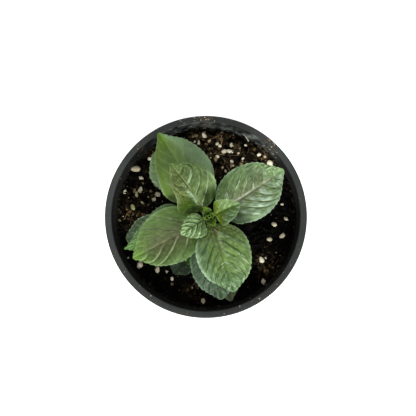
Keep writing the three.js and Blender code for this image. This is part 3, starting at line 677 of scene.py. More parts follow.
# A leaf leaves the stem along its azimuth and rise, and its tip points along its heading and pitch. The tip is
# written as its reach from the stem, its azimuth and its height over the soil.
LEAVES = [
    dict(
        name="leaf_1_left", pair=1, azimuth=209, tip=(15.9, 212, 60), rise=38, heading=215, pitch=-32,
        stalk=1.5, halves=(6.2, 4.6), quilt=0.7, lift=(14, 14), curl=(0.18, 0.18), shape=(0.45, 0.85),
        look=look_of(
            blade=(112, 140, 86), tip=(128, 156, 106), deep=(52, 80, 22), bloom=(170, 198, 152),
            base=(60, 84, 12), vein=(180, 206, 164), bloom_share=(0.9, 0.85), deep_share=0.55,
            crest=(0.17, 0.17), crease=(0.9, 0.9), vein_share=(0.5, 0.5), crinkle=0.3, pocket=1.5,
            groove=0.26, sway=0.1, wave=0.2, fleck=0.2, rib=(52, 78, 18), rib_share=1,
        ),
    ),
    dict(
        name="leaf_1_right", pair=1, azimuth=23, tip=(15.8, 22, 64), rise=48, heading=23, pitch=-5,
        stalk=1.5, halves=(5.2, 6.8), quilt=0.6, lift=(30, 34), curl=(0.05, 0.05),
        look=look_of(
            blade=(98, 124, 64), tip=(110, 138, 88), deep=(64, 90, 20), bloom=(150, 174, 128),
            base=(86, 108, 0), vein=(170, 190, 156), bloom_share=(0.7, 0.45), deep_share=0.45,
            base_share=0.95, base_reach=0.55, crest=(0.17, 0.17), crease=(0.5, 0.4), vein_share=(0.5, 0.1),
            ridges=(1, 0.6), crinkle=0.26, pocket=1.6, groove=0.22, sway=0.1, wave=0.2, fleck=0.2,
            rib=(80, 110, 40), rib_share=0.6,
            patches=(patch(RIGHT, (126, 158, 114), 0.7, (0.1, 0.5), (0.2, 0.4, 0.95, 1)),),
        ),
    ),
    dict(
        name="leaf_2_back", pair=2, azimuth=122, tip=(30.2, 126.4, 67), rise=22, heading=130, pitch=18,
        stalk=2.5, halves=(12, 12), quilt=1.0, lift=(50, 10), curl=(0, 0.08), shape=(0.62, 0.8),
        veins=(5, 0.5),
        look=look_of(
            blade=(84, 108, 48), tip=(98, 122, 66), deep=(52, 78, 14), deep_share=0.6, bloom=(140, 168, 118),
            vein=(172, 198, 158), bloom_share=(0.15, 0.25), crest=(0.12, 0.08), crease=(0.2, 0.85), rim=0.2,
            shine=(1, 0), ridges=(0.3, 0.7), base=(40, 66, 0), base_share=0.9, base_reach=0.3, crinkle=0.34,
            pocket=1.9, groove=0.26, fleck=0.22, rib=(134, 126, 84), rib_share=0.5, vein_share=(0.02, 0.6),
            wander=0.4, streak_fade=0.75,
            patches=(
                patch(LEFT, (126, 140, 80), 0.9, (0.03, 0.25), (0.2, 0.4, 0.95, 1)),
                patch(RIGHT, (70, 90, 34), 0.85, (0, 0.1), (0.35, 0.6, 0.97, 1)),
            ),
            covers=(
                # The two dark covers at the base of the left half are painted shade from the leaves over it.
                patch(LEFT, (60, 82, 8), 0.8, (0.2, 0.5), (0, 0.02, 0.35, 0.6)),
                patch(LEFT, (48, 72, 0), 0.95, (0.05, 0.25), (0, 0.02, 0.26, 0.45)),
                patch(RIGHT, (148, 176, 128), 0.4, (0.84, 0.95), (0.1, 0.2, 0.45, 0.6)),
                patch(RIGHT, (50, 66, 20), 0.45, (0.02, 0.1), (0.35, 0.5, 0.75, 0.9)),
            ),
        ),
    ),
    dict(
        name="leaf_2_front", pair=2, azimuth=292, tip=(38, 288, 54), rise=26, heading=284, pitch=-42,
        stalk=2.5, halves=(13, 12), panels=6, quilt=0.8, lift=(8, 8), curl=(0.08, 0.3), shape=(0.6, 0.78),
        look=look_of(
            blade=(92, 117, 60), tip=(62, 88, 56), tip_share=0.9, deep=(56, 82, 22), deep_share=0.5,
            crest=(0.12, 0.12), bloom=(148, 176, 126), bloom_share=(0.5, 0.4), vein=(160, 184, 142),
            crease=(0.75, 0.6), shine=(0.5, 0), base=(84, 94, 40), crinkle=0.36, pocket=1.8, groove=0.26,
            fleck=0.2, rib=(104, 84, 48), rib_share=0.8, rib_fades=(0.25, 0.5), vein_share=(0.7, 0.6),
            wander=0.7, rim=0.4,
            patches=(
                patch(RIGHT, (82, 109, 70), 0.9, (0.45, 0.6)),
                patch(RIGHT, (68, 100, 60), 0.8, (-1, 0), (0.62, 0.74, 1, 1.1)),
                patch(LEFT, (68, 100, 60), 0.8, (-1, 0), (0.74, 0.84, 1, 1.1)),
                patch(RIGHT, (168, 192, 172), 0.45, (0.82, 0.98), (0.05, 0.2, 0.6, 0.9)),
            ),
        ),
    ),
    dict(
        name="leaf_3_left", pair=3, azimuth=211, tip=(42.1, 209, 48), rise=20, heading=207, pitch=-12,
        stalk=3, halves=(12, 14), quilt=0.6, curl=(0.06, 0.06),
        look=look_of(
            blade=(72, 96, 44), tip=(96, 132, 52), tip_share=0.9, edge=(90, 120, 60), edge_share=0.55,
            base=(54, 84, 14), base_share=0.7, blush=(74, 72, 46), blush_share=0.65, blush_reach=6,
            vein=(146, 150, 118), vein_share=(0.75, 0.25), rib=(126, 124, 94), rib_share=0.5,
            deep_share=0.25, bloom_share=(0.1, 0.1), crease=(0.35, 0.15), ridges=(0.8, 0.5), crinkle=0.2,
            pocket=2.2, groove=0.16, fleck=0.16, wander=0.8,
        ),
    ),
    dict(
        name="leaf_3_right", pair=3, azimuth=28, tip=(43.2, 31.7, 50), rise=20, heading=34, pitch=-10,
        stalk=3, halves=(13, 13), panels=6, quilt=0.8, lift=(8, 4), curl=(0.08, 0.12), shape=(0.66, 0.74),
        veins=(4.8, 0.65),
        look=look_of(
            blade=(84, 108, 58), tip=(132, 164, 110), tip_share=0.85, edge=(108, 140, 86), edge_share=0.5,
            blush=(94, 94, 70), blush_share=0.5, blush_reach=4.5, vein=(172, 188, 158), vein_share=(1, 0.1),
            rib=(170, 174, 152), rib_share=0.75, deep=(56, 80, 28), deep_share=0.4, bloom=(174, 198, 178),
            bloom_share=(0.1, 0.7), crease=(0.3, 0.5), crest=(0.1, 0.3), crinkle=0.34, pocket=1.9,
            groove=0.16, dull=0.38, ridges=(0.9, 0.25), fleck=0.24, wander=0.5, base_share=0.85,
            # The pale patch on the right half is a painted sheen.
            base_reach=0.45, patches=(patch(RIGHT, (118, 138, 104), 0.5, (0.1, 0.6)),),
            covers=(patch(RIGHT, (58, 80, 32), 0.35, (0, 0.1), (0, 0.02, 0.2, 0.4)),),
        ),
    ),
    dict(
        name="leaf_4_back", pair=4, azimuth=117, tip=(47.5, 120.6, 47), rise=22, heading=125, pitch=4,
        stalk=8, halves=(14, 13.6), panels=5, quilt=0.35, lift=(32, 4), curl=(-0.1, 0.1), shape=(0.53, 0.88),
        look=look_of(
            blade=(90, 113, 56), tip=(80, 114, 18), tip_share=0.9, edge=(112, 142, 96), edge_share=0.6,
            base=(80, 106, 60), deep_share=0.12, bloom_share=(0.05, 0.2), crease=(0.05, 0.08), rib_share=0.06,
            crinkle=0.08, pocket=2.8, groove=0.06, ridges=(0.4, 0.6), fleck=0.06, vein_share=(0.05, 0.1),
            patches=(
                patch(LEFT, (80, 104, 34), 0.9, (0.5, 0.85)),
                patch(RIGHT, (124, 152, 112), 0.8, (0.15, 0.7)),
            ),
        ),
    ),
    dict(
        name="leaf_4_front", pair=4, azimuth=279, tip=(42.2, 279.4, 33), rise=16, heading=280, pitch=-30,
        stalk=7, halves=(13, 11.8), panels=5, quilt=0.5, lift=(8, 8), curl=(0.08, 0.12), shape=(0.62, 0.78),
        look=look_of(
            # The greens of this leaf are dark: painted shade from the leaf over it.
            blade=(42, 63, 36), tip=(40, 59, 32), edge=(62, 86, 56), vein=(104, 128, 98), deep=(22, 40, 14),
            deep_share=0.6, bloom=(122, 152, 124), bloom_share=(0.5, 0.6), vein_share=(0.4, 0.4),
            crinkle=0.24, pocket=2.0, groove=0.22, fleck=0.18, wander=0.6,
        ),
    ),
    dict(
        name="leaf_5_left", pair=5, azimuth=203, tip=(45, 201.5, 33), rise=18, heading=200, pitch=-10,
        stalk=8, halves=(15, 13), panels=5, quilt=0.4, shape=(0.42, 1.2),
        look=look_of(
            blade=(62, 90, 46), tip=(90, 132, 60), tip_share=0.9, edge=(96, 130, 76), crease=(0.3, 0.3),
            rim=0.4, vein_share=(0.3, 0.3), crinkle=0.14, groove=0.15, fleck=0.12,
        ),
    ),
    dict(
        name="leaf_5_right", pair=5, azimuth=24, tip=(36, 26, 30), rise=14, heading=27, pitch=-16,
        stalk=8, halves=(10.5, 10.5), quilt=0.4,
        look=look_of(blade=(78, 104, 62), crease=(0.2, 0.2), crinkle=0.1, groove=0.15),
    ),
    dict(
        name="leaf_6_back", pair=6, azimuth=127, tip=(43, 130, 23), rise=15, heading=133, pitch=-8,
        stalk=9, halves=(10, 12), quilt=0.35, shape=(1, 0.62),
        look=look_of(
            blade=(130, 160, 104), edge=(160, 184, 148), edge_share=0.7, vein=(164, 184, 150), deep_share=0.2,
            crease=(0.15, 0.15), crinkle=0.1, groove=0.12, fleck=0.14,
        ),
    ),
    dict(
        name="leaf_6_front", pair=6, azimuth=287, tip=(46, 286, 16), rise=12, heading=285, pitch=-18,
        stalk=9, halves=(11.5, 11.5), quilt=0.35, shape=(0.6, 0.85),
        look=look_of(
            # Near-black greens for this low leaf: painted shade under the leaves above it.
            blade=(20, 30, 0), tip=(16, 25, 0), edge=(26, 36, 2), vein=(38, 50, 14), bloom_share=(0, 0),
            rim=0, crinkle=0.1, groove=0.15, dull=0.75,
        ),
    ),
    dict(
        name="leaf_7_left", pair=7, azimuth=198, tip=(44.2, 195.5, 13), rise=14, heading=193, pitch=-10,
        stalk=9, halves=(10.5, 9.2), quilt=0.3, shape=(0.7, 0.6),
        look=look_of(
            # Dark greens for this low leaf: painted shade under the leaves above it.
            blade=(47, 64, 38), tip=(49, 66, 40), edge=(66, 83, 58), vein=(104, 124, 96),
            vein_share=(0.3, 0.3), deep=(34, 52, 26), crinkle=0.14, groove=0.15, dull=0.6, rim=0.5,
            fleck=0.14,
        ),
    ),
    dict(
        name="leaf_7_right", pair=7, azimuth=20, tip=(30, 17, 10), rise=12, heading=15, pitch=-14,
        stalk=8, halves=(9, 9), quilt=0.3,
        look=look_of(blade=(66, 88, 58), crinkle=0.1, groove=0.15),
    ),
]


def midrib(leaf):
    base = SOIL_TOP + PAIR_RISE[leaf["pair"] - 1]
    start = stem_axis(base) + bearing(leaf["azimuth"]) * (stem_half(base) + NODE_SWELL + STALK_CLEARANCE)
    reach, azimuth, rise = leaf["tip"]
    tip = stem_axis(base) + bearing(azimuth) * reach
    tip[2] = SOIL_TOP + rise
    return bend(start, tip, leaf["azimuth"], leaf["rise"], leaf["heading"], leaf["pitch"])


SMALL_LEAF = {
    **ANY_LEAF, "girth": 0.5, "stalk": 0.8, "panels": 2, "quilt": 0.3, "curl": (0.05, 0.05), "foot": 0.5,
    "fine": 0.6,
}


def small_leaf(start, azimuth, reach, climb, rise, pitch, seed, look, **own):
    """A leaf of the bud or the side shoot, whose tip lies out and up from its start."""
    tip = start + bearing(azimuth) * reach + np.array([0, 0, climb])
    curve = bend(start, tip, azimuth, rise, azimuth, pitch)
    return leaf_part({**SMALL_LEAF, "look": look, **own}, curve, seed)


# The stem, the bud and the side shoot

def ringed(rings):
    """Faces between rings of points, each ring anticlockwise seen from above, and the two ends."""
    count, j = len(rings[0]), np.arange(len(rings[0]))
    quads = []
    for i in range(len(rings) - 1):
        low, high = i * count + j, (i + 1) * count + j
        quads.append(np.stack([low, np.roll(low, -1), np.roll(high, -1), high], -1))
    return [np.concatenate(quads), np.array([j[::-1], (len(rings) - 1) * count + j])]


STEM_SIDES = 40
STEM_SQUARENESS = 4
CORNER_REACH = 0.19
STEM_GREEN = linear(112, 124, 66)
STEM_PURPLE = linear(86, 66, 58)


def stem_part():
    """The square stem, swollen at its nodes, and purple there and along its corners."""
    sunk = np.arange(SOIL_TOP - HOLE_DEPTH + GAP, SOIL_TOP - 2, 4)
    heights = np.concatenate([sunk, np.arange(SOIL_TOP - 2, STEM_TOP - 0.2, 0.5), [STEM_TOP]])
    angle = angles_of(STEM_SIDES)
    square = np.abs(np.cos(angle)) ** STEM_SQUARENESS + np.abs(np.sin(angle)) ** STEM_SQUARENESS
    square = square ** (-1 / STEM_SQUARENESS)
    at_corner = np.clip(square - 1, 0, None) / CORNER_REACH
    square = square * (1 + 0.05 * at_corner - 0.04 * (1 - at_corner))
    rings, tints, flats = [], [], []
    for z in heights:
        swollen = smoothstep(max(1 - abs(z - SOIL_TOP - rise) / NODE_REACH for rise in PAIR_RISE), 0, 1)
        radius = (stem_half(z) + NODE_SWELL * swollen) * square * (1 + 0.015 * swell(angle * 9, z, 3, 31))
        rings.append(circle(radius, z, STEM_SIDES, stem_axis(z), math.radians(STEM_TURN)))
        purple = 0.25 + 0.45 * at_corner + 0.5 * swollen - 0.35 * (z - SOIL_TOP) / STEM_RISE
        tints.append(mixed(STEM_GREEN, STEM_PURPLE, np.clip(purple, 0, 0.9)))
        flats.append(np.stack([np.full(STEM_SIDES, z), angle * 1.5, np.full(STEM_SIDES, 3.0)], -1))
    points, tint, flat = (np.concatenate(rows) for rows in (rings, tints, flats))
    return part_of(points, ringed(rings), tint, flat, 0.5)


ALMOST_UP = np.array([0.013, 0.027, 1.0])


def tube_part(path, radii, sides, tint, seed, dull=0.6, squash=1.0):
    """A round tube along a path of points, closed at both ends."""
    forward = unit(np.gradient(path, axis=0))
    side = unit(np.cross(forward, ALMOST_UP))
    up = np.cross(side, forward)
    angle = angles_of(sides)[None, :, None]
    around = side[:, None] * np.cos(angle) + squash * up[:, None] * np.sin(angle)
    rings = path[:, None] + radii[:, None, None] * around
    points = rings.reshape(-1, 3)
    return part_of(points, ringed(rings), tint, points + seed * 10.0, dull)


HAIR_COUNT = 420
HAIR_TINT = linear(176, 186, 158)
HAIR_RADII = np.array([0.06, 0.05, 0.035, 0.01])


def hair_part():
    """Short fine hairs on the stem, each with its root in it."""
    rng = np.random.default_rng(26)
    parts = []
    for _ in range(HAIR_COUNT):
        z = rng.uniform(SOIL_TOP + 2, STEM_TOP - 1)
        out = bearing(rng.uniform(0, 360), rng.uniform(-35, 10))
        length = rng.uniform(0.5, 1.1)
        steps = np.linspace(0, 1, len(HAIR_RADII))[:, None]
        path = stem_axis(z) + out * (0.8 * stem_half(z) + length * steps)
        parts.append(tube_part(path, HAIR_RADII, 4, HAIR_TINT, 27))
    return joined(parts)


# The bud's leaflets go near black towards their bases: painted shade in the hollow heart of the bud.
BUD_LOOK = look_of(
    blade=(64, 96, 2), tip=(104, 136, 22), deep=(24, 46, 0), bloom=(118, 150, 56), under=(74, 104, 26),
    base=(12, 26, 0), base_share=0.95, base_reach=0.85, vein=(112, 138, 60), crinkle=0.05, pocket=0.9,
    groove=0.08, sway=0.05, wave=0.06,
)
# The cone in the bud's heart is near black: painted shade among the leaflets.
BUD_HEART_SHADE = linear(14, 30, 2)
OUTER_BUD = dict(reach=5, climb=3.4, rise=62, pitch=8, halves=(2.1, 2.1), lift=(24, 24))
INNER_BUD = dict(reach=2.4, climb=3.8, rise=78, pitch=55, halves=(1.4, 1.4), lift=(30, 30))
CORE_BUD = dict(
    reach=0.7, climb=2.3, rise=80, pitch=70, halves=(0.7, 0.7), lift=(34, 34), girth=0.35, fine=0.3,
)
PAIR_TURNS = ((118, 30), (298, 210))
CORE_TURNS = (74, 164, 254, 344)


def bud_part():
    """Two pairs of unopened leaflets and a core of four tiny ones on a short cone."""
    seat = stem_axis(STEM_TOP + GAP)
    steps = np.linspace(0, 1, 10)
    cone = seat + np.array([0, 0, 1.0]) * (steps * 2.6)[:, None]
    parts = [tube_part(cone, lerp(1.3, 0.5, steps ** 1.3), 24, BUD_HEART_SHADE, 41, 0.5)]
    heart, core = seat + np.array([0, 0, 1.2]), seat + np.array([0, 0, 2.0])
    for k, (outer, inner) in enumerate(PAIR_TURNS):
        parts.append(small_leaf(heart, outer, seed=61 + k, look=BUD_LOOK, **OUTER_BUD))
        parts.append(small_leaf(heart, inner, seed=71 + k, look=BUD_LOOK, **INNER_BUD))
    for k, turn in enumerate(CORE_TURNS):
        parts.append(small_leaf(core, turn, seed=81 + k, look=BUD_LOOK, **CORE_BUD))
    return joined(parts)


# The side shoot's two leaves get very dark greens: painted shade under the leaves above them.
SHOOT_LOOK = look_of(
    blade=(18, 32, 12), tip=(16, 30, 10), edge=(30, 46, 24), deep=(10, 20, 6), vein=(46, 62, 38),
    bloom_share=(0.05, 0.05), crinkle=0.1, pocket=1.6, groove=0.14, sway=0.2, wave=0.15, dull=0.75, rim=0.1,
)
BRIGHT_LOOK = look_of(
    blade=(64, 112, 34), tip=(80, 134, 44), edge=(72, 120, 40), deep=(34, 68, 10), bloom=(96, 140, 66),
    vein=(104, 146, 70), crinkle=0.08, pocket=1.2, groove=0.1, sway=0.1, wave=0.1,
)
SHOOT_STEM = linear(92, 108, 60)
SHOOT_AZIMUTH = 246
SHOOT_RISE = 6
SHOOT_REACH = 25.5
SHOOT_END = 17
BIG_SHOOT_LEAF = dict(
    reach=13.5, climb=-1, rise=12, pitch=-20, halves=(6.5, 7), lift=(8, 8), look=SHOOT_LOOK,
    panels=3, fine=0.9,
)
LOW_SHOOT_LEAF = dict(reach=8, climb=3, rise=40, pitch=0, halves=(2.8, 2.8), lift=(8, 8), look=SHOOT_LOOK)
END_SHOOT_LEAF = dict(
    reach=4.5, climb=2.5, rise=50, pitch=0, halves=(1.7, 1.7), lift=(20, 20), look=BRIGHT_LOOK,
)


def shoot_part():
    """The side shoot: a thin stalk out of the stem with two dark leaves and a bright green end."""
    out = bearing(SHOOT_AZIMUTH)
    foot = stem_axis(SOIL_TOP + SHOOT_RISE)
    start = foot + out * (stem_half(foot[2]) + STALK_CLEARANCE + 0.9)
    end = foot + out * SHOOT_REACH
    end[2] = SOIL_TOP + SHOOT_END
    path = bend(start, end, SHOOT_AZIMUTH, 10, SHOOT_AZIMUTH, 40)
    shares = np.linspace(0, 1, 60)
    inward = start - out * np.linspace(1.6, 0.1, 4)[:, None]
    middle = np.concatenate([inward, along(path, shares)[0]])
    radii = np.concatenate([np.full(4, 1.0), 0.9 - 0.15 * shares])
    branching, near_end = along(path, 0.8)[0], along(path, 0.97)[0]
    return joined([
        tube_part(middle, radii, 20, SHOOT_STEM, 43, 0.5),
        small_leaf(branching, 233, seed=91, **BIG_SHOOT_LEAF),
        small_leaf(branching, 62, seed=92, **LOW_SHOOT_LEAF),
        small_leaf(near_end, 155, seed=93, **END_SHOOT_LEAF),
        small_leaf(near_end, 335, seed=94, **END_SHOOT_LEAF),
    ])


# The pot

POT_SIDES = 240
POT_GREY = linear(50, 53, 51)
# Inside above the soil the wall is painted darker as shade, and lighter in patches at the back as painted light.
INSIDE_SHADE = 0.3
BACK_WALL_LIGHT = 2.9
BACK_STARTS, BACK_ENDS = (35, 65), (110, 135)
LEDGE_RISE = 1.2
DRAIN_SIDES = 48


def wall_inner(z):
    slope = (RIM_INNER - (FOOT_RADIUS - WALL)) / (POT_HEIGHT - EDGE)
    return FOOT_RADIUS - WALL + slope * z


def corner(before, at, after, radius, steps=4):
    """A corner of a section, rounded."""
    before, at, after = np.array(before, float), np.array(at, float), np.array(after, float)
    into, out = unit(before - at), unit(after - at)
    half_turn = math.acos(np.clip(into @ out, -1, 1)) / 2
    room = 0.45 * min(np.linalg.norm(before - at), np.linalg.norm(after - at))
    reach = min(radius / math.tan(half_turn), room)
    start, end = at + into * reach, at + out * reach
    s = np.linspace(0, 1, steps)[:, None]
    return (1 - s) ** 2 * start + 2 * (1 - s) * s * at + s * s * end


def pot_section():
    """The pot's section from the edge of its underside round the foot, wall and rim to its floor."""
    wall_top, skirt = RIM_INNER + WALL, RIM_RADIUS - WALL
    under_rim, skirt_foot = POT_HEIGHT - RIM_THICKNESS, POT_HEIGHT - SKIRT_DEPTH
    ledge, ring_inner = skirt_foot + LEDGE_RISE, FOOT_RADIUS - FOOT_WIDTH
    corners = [
        ((ring_inner, 0), 0.4),
        ((FOOT_RADIUS, 0), 0.5),
        ((wall_top, under_rim), 0.3),
        ((skirt, under_rim), 0.3),
        ((skirt, skirt_foot), 0.25),
        ((RIM_RADIUS, skirt_foot), 0.3),
        ((RIM_RADIUS, POT_HEIGHT), 0.7),
        ((RIM_INNER, POT_HEIGHT), 0.8),
        ((wall_inner(ledge + 0.7), ledge + 0.7), 0.3),
        ((wall_inner(ledge) - 0.35, ledge), 0.3),
        ((wall_inner(ledge - 3) - 0.05, ledge - 3), 1),
        ((wall_inner(FLOOR_TOP + 2), FLOOR_TOP + 2), 1),
        ((wall_inner(FLOOR_TOP) - 2, FLOOR_TOP), 1),
    ]
    first, last = (ring_inner - FOOT_DEPTH, FOOT_DEPTH), (ring_inner - FOOT_DEPTH, FLOOR_TOP)
    places = [first, *(place for place, _ in corners), last]
    rounded = [corner(*places[k:k + 3], radius) for k, (_, radius) in enumerate(corners)]
    section = np.concatenate([[first], *rounded, [last]])
    fine = [section[:1]]
    for a, b in zip(section[:-1], section[1:]):
        count = max(1, round(np.linalg.norm(b - a) / 3))
        fine.append(lerp(a, b, (np.arange(1, count + 1) / count)[:, None]))
    return np.concatenate(fine)


def pot_dust_and_light(points):
    """How light the plastic is: partly dust, partly painted light and shade on the rim and walls."""
    x, y, z = points.T
    around, far = np.degrees(np.arctan2(y, x)), np.hypot(x, y)
    inside = (far < wall_inner(z) + 0.4) * smoothstep(z, SOIL_TOP - 2, SOIL_TOP + 1)
    back = smoothstep(around, *BACK_STARTS) * faded(around, *BACK_ENDS)
    patchy = np.clip(0.7 + 1.3 * rough(around * 0.9, z, 2.2, 151, 3), 0, 2)
    # Towards the top, lighter at the back and left and darker at the front and right: partly dust, partly a
    # painted sheen.
    shade = lerp(1, 0.93 - 0.17 * x / far + 0.34 * y / far, smoothstep(z, 60, 80))
    # The inner wall is painted darker as shade, and lighter in patches at its back as painted light.
    return lerp(shade, INSIDE_SHADE + BACK_WALL_LIGHT * back * patchy, inside)


def pot_part():
    section = pot_section()
    rings = [circle(radius, z, POT_SIDES) for radius, z in section]
    points = np.concatenate(rings)
    around = np.tile(angles_of(POT_SIDES), len(section))
    along_section = np.repeat(np.hypot(*section.T), POT_SIDES)
    flat = np.stack([around * RIM_RADIUS, along_section, 0 * around], -1)
    return part_of(points, ringed(rings), POT_GREY * pot_dust_and_light(points)[:, None], flat, 0.5)


def drained(pot):
    """Cuts the drain holes into the pot."""
    cutters = []
    for k in range(DRAIN_COUNT):
        centre = bearing(360 * k / DRAIN_COUNT) * DRAIN_CIRCLE
        rings = [circle(DRAIN_RADIUS, z, DRAIN_SIDES, centre) for z in (FOOT_DEPTH - 3, FLOOR_TOP + 3)]
        points = np.concatenate(rings)
        cutters.append(part_of(points, ringed(rings), POT_GREY, points, 0))
    mesh = mesh_of("drains", joined(cutters))
    drains = placed("drains", mesh)
    cut = pot.modifiers.new("cut", "BOOLEAN")
    cut.operation = "DIFFERENCE"
    cut.object = drains
    cut.solver = "EXACT"
    bpy.context.view_layer.update()
    made = bpy.data.meshes.new_from_object(pot.evaluated_get(bpy.context.evaluated_depsgraph_get()))
    pot.modifiers.clear()
    pot.data = made
    made.name = pot.name
    made.set_sharp_from_angle(angle=math.radians(50))
    bpy.data.objects.remove(drains)
    bpy.data.meshes.remove(mesh)


# The soil

CRUMB_COUNT = 90
CRUMB_HEIGHT = 1.6
CRUMB_LEAST, CRUMB_MORE = 2.5, 2
DRAW_FACTOR, DRAW_STEP, DRAW_RANGE = 1664525, 1013904223, 4294967296
SOIL_WAVE = 0.5
SOIL_SIDES = 400
SOIL_RINGS = 110
SOIL_DARK = linear(30, 25, 16)
SOIL_BROWN = linear(62, 52, 33)
SOIL_PALE = linear(116, 98, 68)
SOIL_PIT_SHADE = linear(4, 4, 3)


def soil_crumbs():
    """The same crumbs as in the solid: x, y, radius and height."""
    state, found = 7, []

    def draw():
        nonlocal state
        state = (state * DRAW_FACTOR + DRAW_STEP) % DRAW_RANGE
        return state / DRAW_RANGE

    for _ in range(CRUMB_COUNT):
        turn = draw()
        place = bearing(360 * turn) * wall_inner(SOIL_TOP) * math.sqrt(draw())
        radius = CRUMB_LEAST + CRUMB_MORE * draw()
        found.append((place[0], place[1], radius, CRUMB_HEIGHT * draw()))
    return np.array(found)


CRUMBS = soil_crumbs()


def soil_height(x, y):
    """The height of the solid soil's surface."""
    waves = np.sin(0.31 * x + 0.9) * np.cos(0.27 * y) + 0.6 * np.sin(0.52 * y - 0.38 * x)
    bumps = np.zeros_like(x)
    for cx, cy, radius, height in CRUMBS:
        distance = np.hypot(x - cx, y - cy) / radius
        bumps = np.maximum(bumps, height * (1 - np.clip(distance, 0, 1) ** 2))
    return SOIL_TOP + SOIL_WAVE * waves + bumps


def fine_soil(x, y):
    """The soil's height with its lumps and pits."""
    lumps = 0.5 * rough(x, y, 4.2, 101, 4, 0.62)
    grains = 0.45 * domed(cells(x, y, 1.5, 111) / 0.55) - 0.3
    pits = -1.9 * smoothstep(rough(x, y, 3.4, 121, 2), 0.15, 0.6)
    return soil_height(x, y) + lumps + grains + pits


# Where the soil is dry and lit, so brighter: x, y, reach and how much. Elsewhere it is partly damp, partly
# painted shade
LIT_DRY_PATCHES = (
    (8, 38, 15, 1), (36, 32, 8, 0.7), (-41, 1, 6, 0.35), (-33, 12, 8, 0.2), (-28, 36, 9, 0.4),
    (34, -26, 6, 0.6), (-6, -39.5, 4, 0.6),
)
DAMP_AND_SHADED = 0.035
DRY_AND_LIT = 2.0


def dryness_and_light(x, y):
    """How bright the potting mix is: near 2 where dry and lit, far less where damp and in painted shade."""
    lit_and_dry = 0
    for px, py, reach, share in LIT_DRY_PATCHES:
        lit_and_dry = lit_and_dry + share * np.exp(-((x - px) ** 2 + (y - py) ** 2) / reach ** 2)
    return lerp(DAMP_AND_SHADED, DRY_AND_LIT, np.clip(lit_and_dry, 0, 1))


def soil_part():
    floor = FLOOR_TOP + GAP
    rings = [circle(wall_inner(floor) - 2.2, floor, SOIL_SIDES)]
    rings.extend(circle(wall_inner(z) - GAP, z, SOIL_SIDES) for z in np.linspace(floor + 2, SOIL_TOP - 3, 12))
    for radius in np.linspace(wall_inner(SOIL_TOP) - GAP, 1.0, SOIL_RINGS):
        ring = circle(radius, 0.0, SOIL_SIDES)
        ring[:, 2] = fine_soil(ring[:, 0], ring[:, 1])
        rings.append(ring)
    points = np.concatenate(rings)
    x, y, z = points.T
    tint = mixed(SOIL_DARK, SOIL_BROWN, 0.7 * smoothstep(rough(x, y, 3.2, 131, 3), -0.1, 0.8))
    tint = mixed(tint, SOIL_PALE, 0.7 * smoothstep(rough(x, y, 1.1, 141, 2), 0.45, 0.95))
    # The pits are painted near black: painted shade in the hollows.
    tint = mixed(tint, SOIL_PIT_SHADE, faded(z - soil_height(x, y), -0.7, 0.45))
    # Darkened by the soil's painted shade, and brighter where it is dry and lit.
    return part_of(points, ringed(rings), tint * dryness_and_light(x, y)[:, None], points.copy(), 0.85)


# Loose bits: grains of perlite, crumbs, flakes and fibres

def icosphere(level):
    mesh = bmesh.new()
    bmesh.ops.create_icosphere(mesh, subdivisions=level, radius=1)
    points = np.array([v.co for v in mesh.verts])
    faces = np.array([[v.index for v in f.verts] for f in mesh.faces])
    mesh.free()
    return points, faces


BALLS = {level: icosphere(level) for level in (1, 2, 3)}
LUMP_WAVES = ((1.6, 1.6), (0.9, 3.2), (0.4, 6.5))


def turned(rng, tilt):
    """A random turn about the vertical with a random tilt of up to so many radians."""
    matrix = Matrix.Rotation(rng.uniform(0, 2 * math.pi), 3, "Z")
    for axis in "XY":
        matrix = matrix @ Matrix.Rotation(rng.uniform(-tilt, tilt), 3, axis)
    return np.array(matrix)


def lump(rng, place, size, stretch, level, jag, tint, tilt):
    """One rounded irregular grain about a place."""
    ball, faces = BALLS[level]
    shift = rng.uniform(0, 90, 3)
    bumps = 0
    for amount, reach in LUMP_WAVES:
        bumps = bumps + jag * amount * np.sin(ball @ rng.normal(0, reach, (3, 3)) + shift).prod(1)
    points = ball * (1 + bumps)[:, None] * np.array(stretch) * size / 2
    points = points @ turned(rng, tilt).T + place
    shade = np.clip(1 + 0.5 * bumps, 0.5, 1.4)[:, None]
    return part_of(points, [faces], tint * shade, points + shift, 0.8)


def rolled(grain, rng, turn, place):
    """A grain turned about the vertical by degrees, with a little random lean, and laid at a place."""
    lean = Matrix.Rotation(math.radians(turn), 3, "Z") @ Matrix.Rotation(rng.uniform(-0.3, 0.3), 3, "X")
    return {**grain, "points": grain["points"] @ np.array(lean).T + place}


def scattered(rng, reach):
    """A random place, as likely on any spot of a disc of that reach."""
    turn, far = rng.uniform(0, 360), reach * math.sqrt(rng.uniform(0, 1))
    return (bearing(turn) * far)[:2]


def on_soil(x, y, lift):
    """The place over the soil by that much."""
    return np.array([x, y, fine_soil(np.array([x]), np.array([y]))[0] + lift])


# The grains of perlite that stand out: x, y and size
PERLITE = (
    (-4.5, 41, 3), (-1, 44.5, 2.7), (6, 40, 1.9), (7.5, 39, 1.9), (14, 39.5, 2.6), (10, 36, 2.7), (13, 36, 2.6),
    (6, 33, 2.1), (14, 30.5, 2.1), (20, 32, 1.5), (29, 34.5, 2.5), (35, 29.3, 3.5), (-31, 32.5, 2.6),
    (-35.5, 21.5, 2.3), (-44.5, 14, 2.3), (-36, 15, 3), (-38, 12.5, 2.4), (-26.5, 12.5, 2.9),
    (-28.5, 10, 2.3), (-35, 8, 1.9), (-40, 5.5, 2.7), (-42.5, -22.5, 2.5), (-36, -26, 3.8), (-26.5, -28.5, 3),
    (-21.5, -29.5, 2.3), (-18.5, -33.5, 1.8), (-1.5, -45.5, 3), (31, -35, 2.7), (30, -23, 3), (34.5, -12, 3),
    (41.5, -10, 3), (37, -4, 2.7), (43.5, -1, 2.6), (41.5, 7, 1.5),
)
SMALL_GRAINS = 230
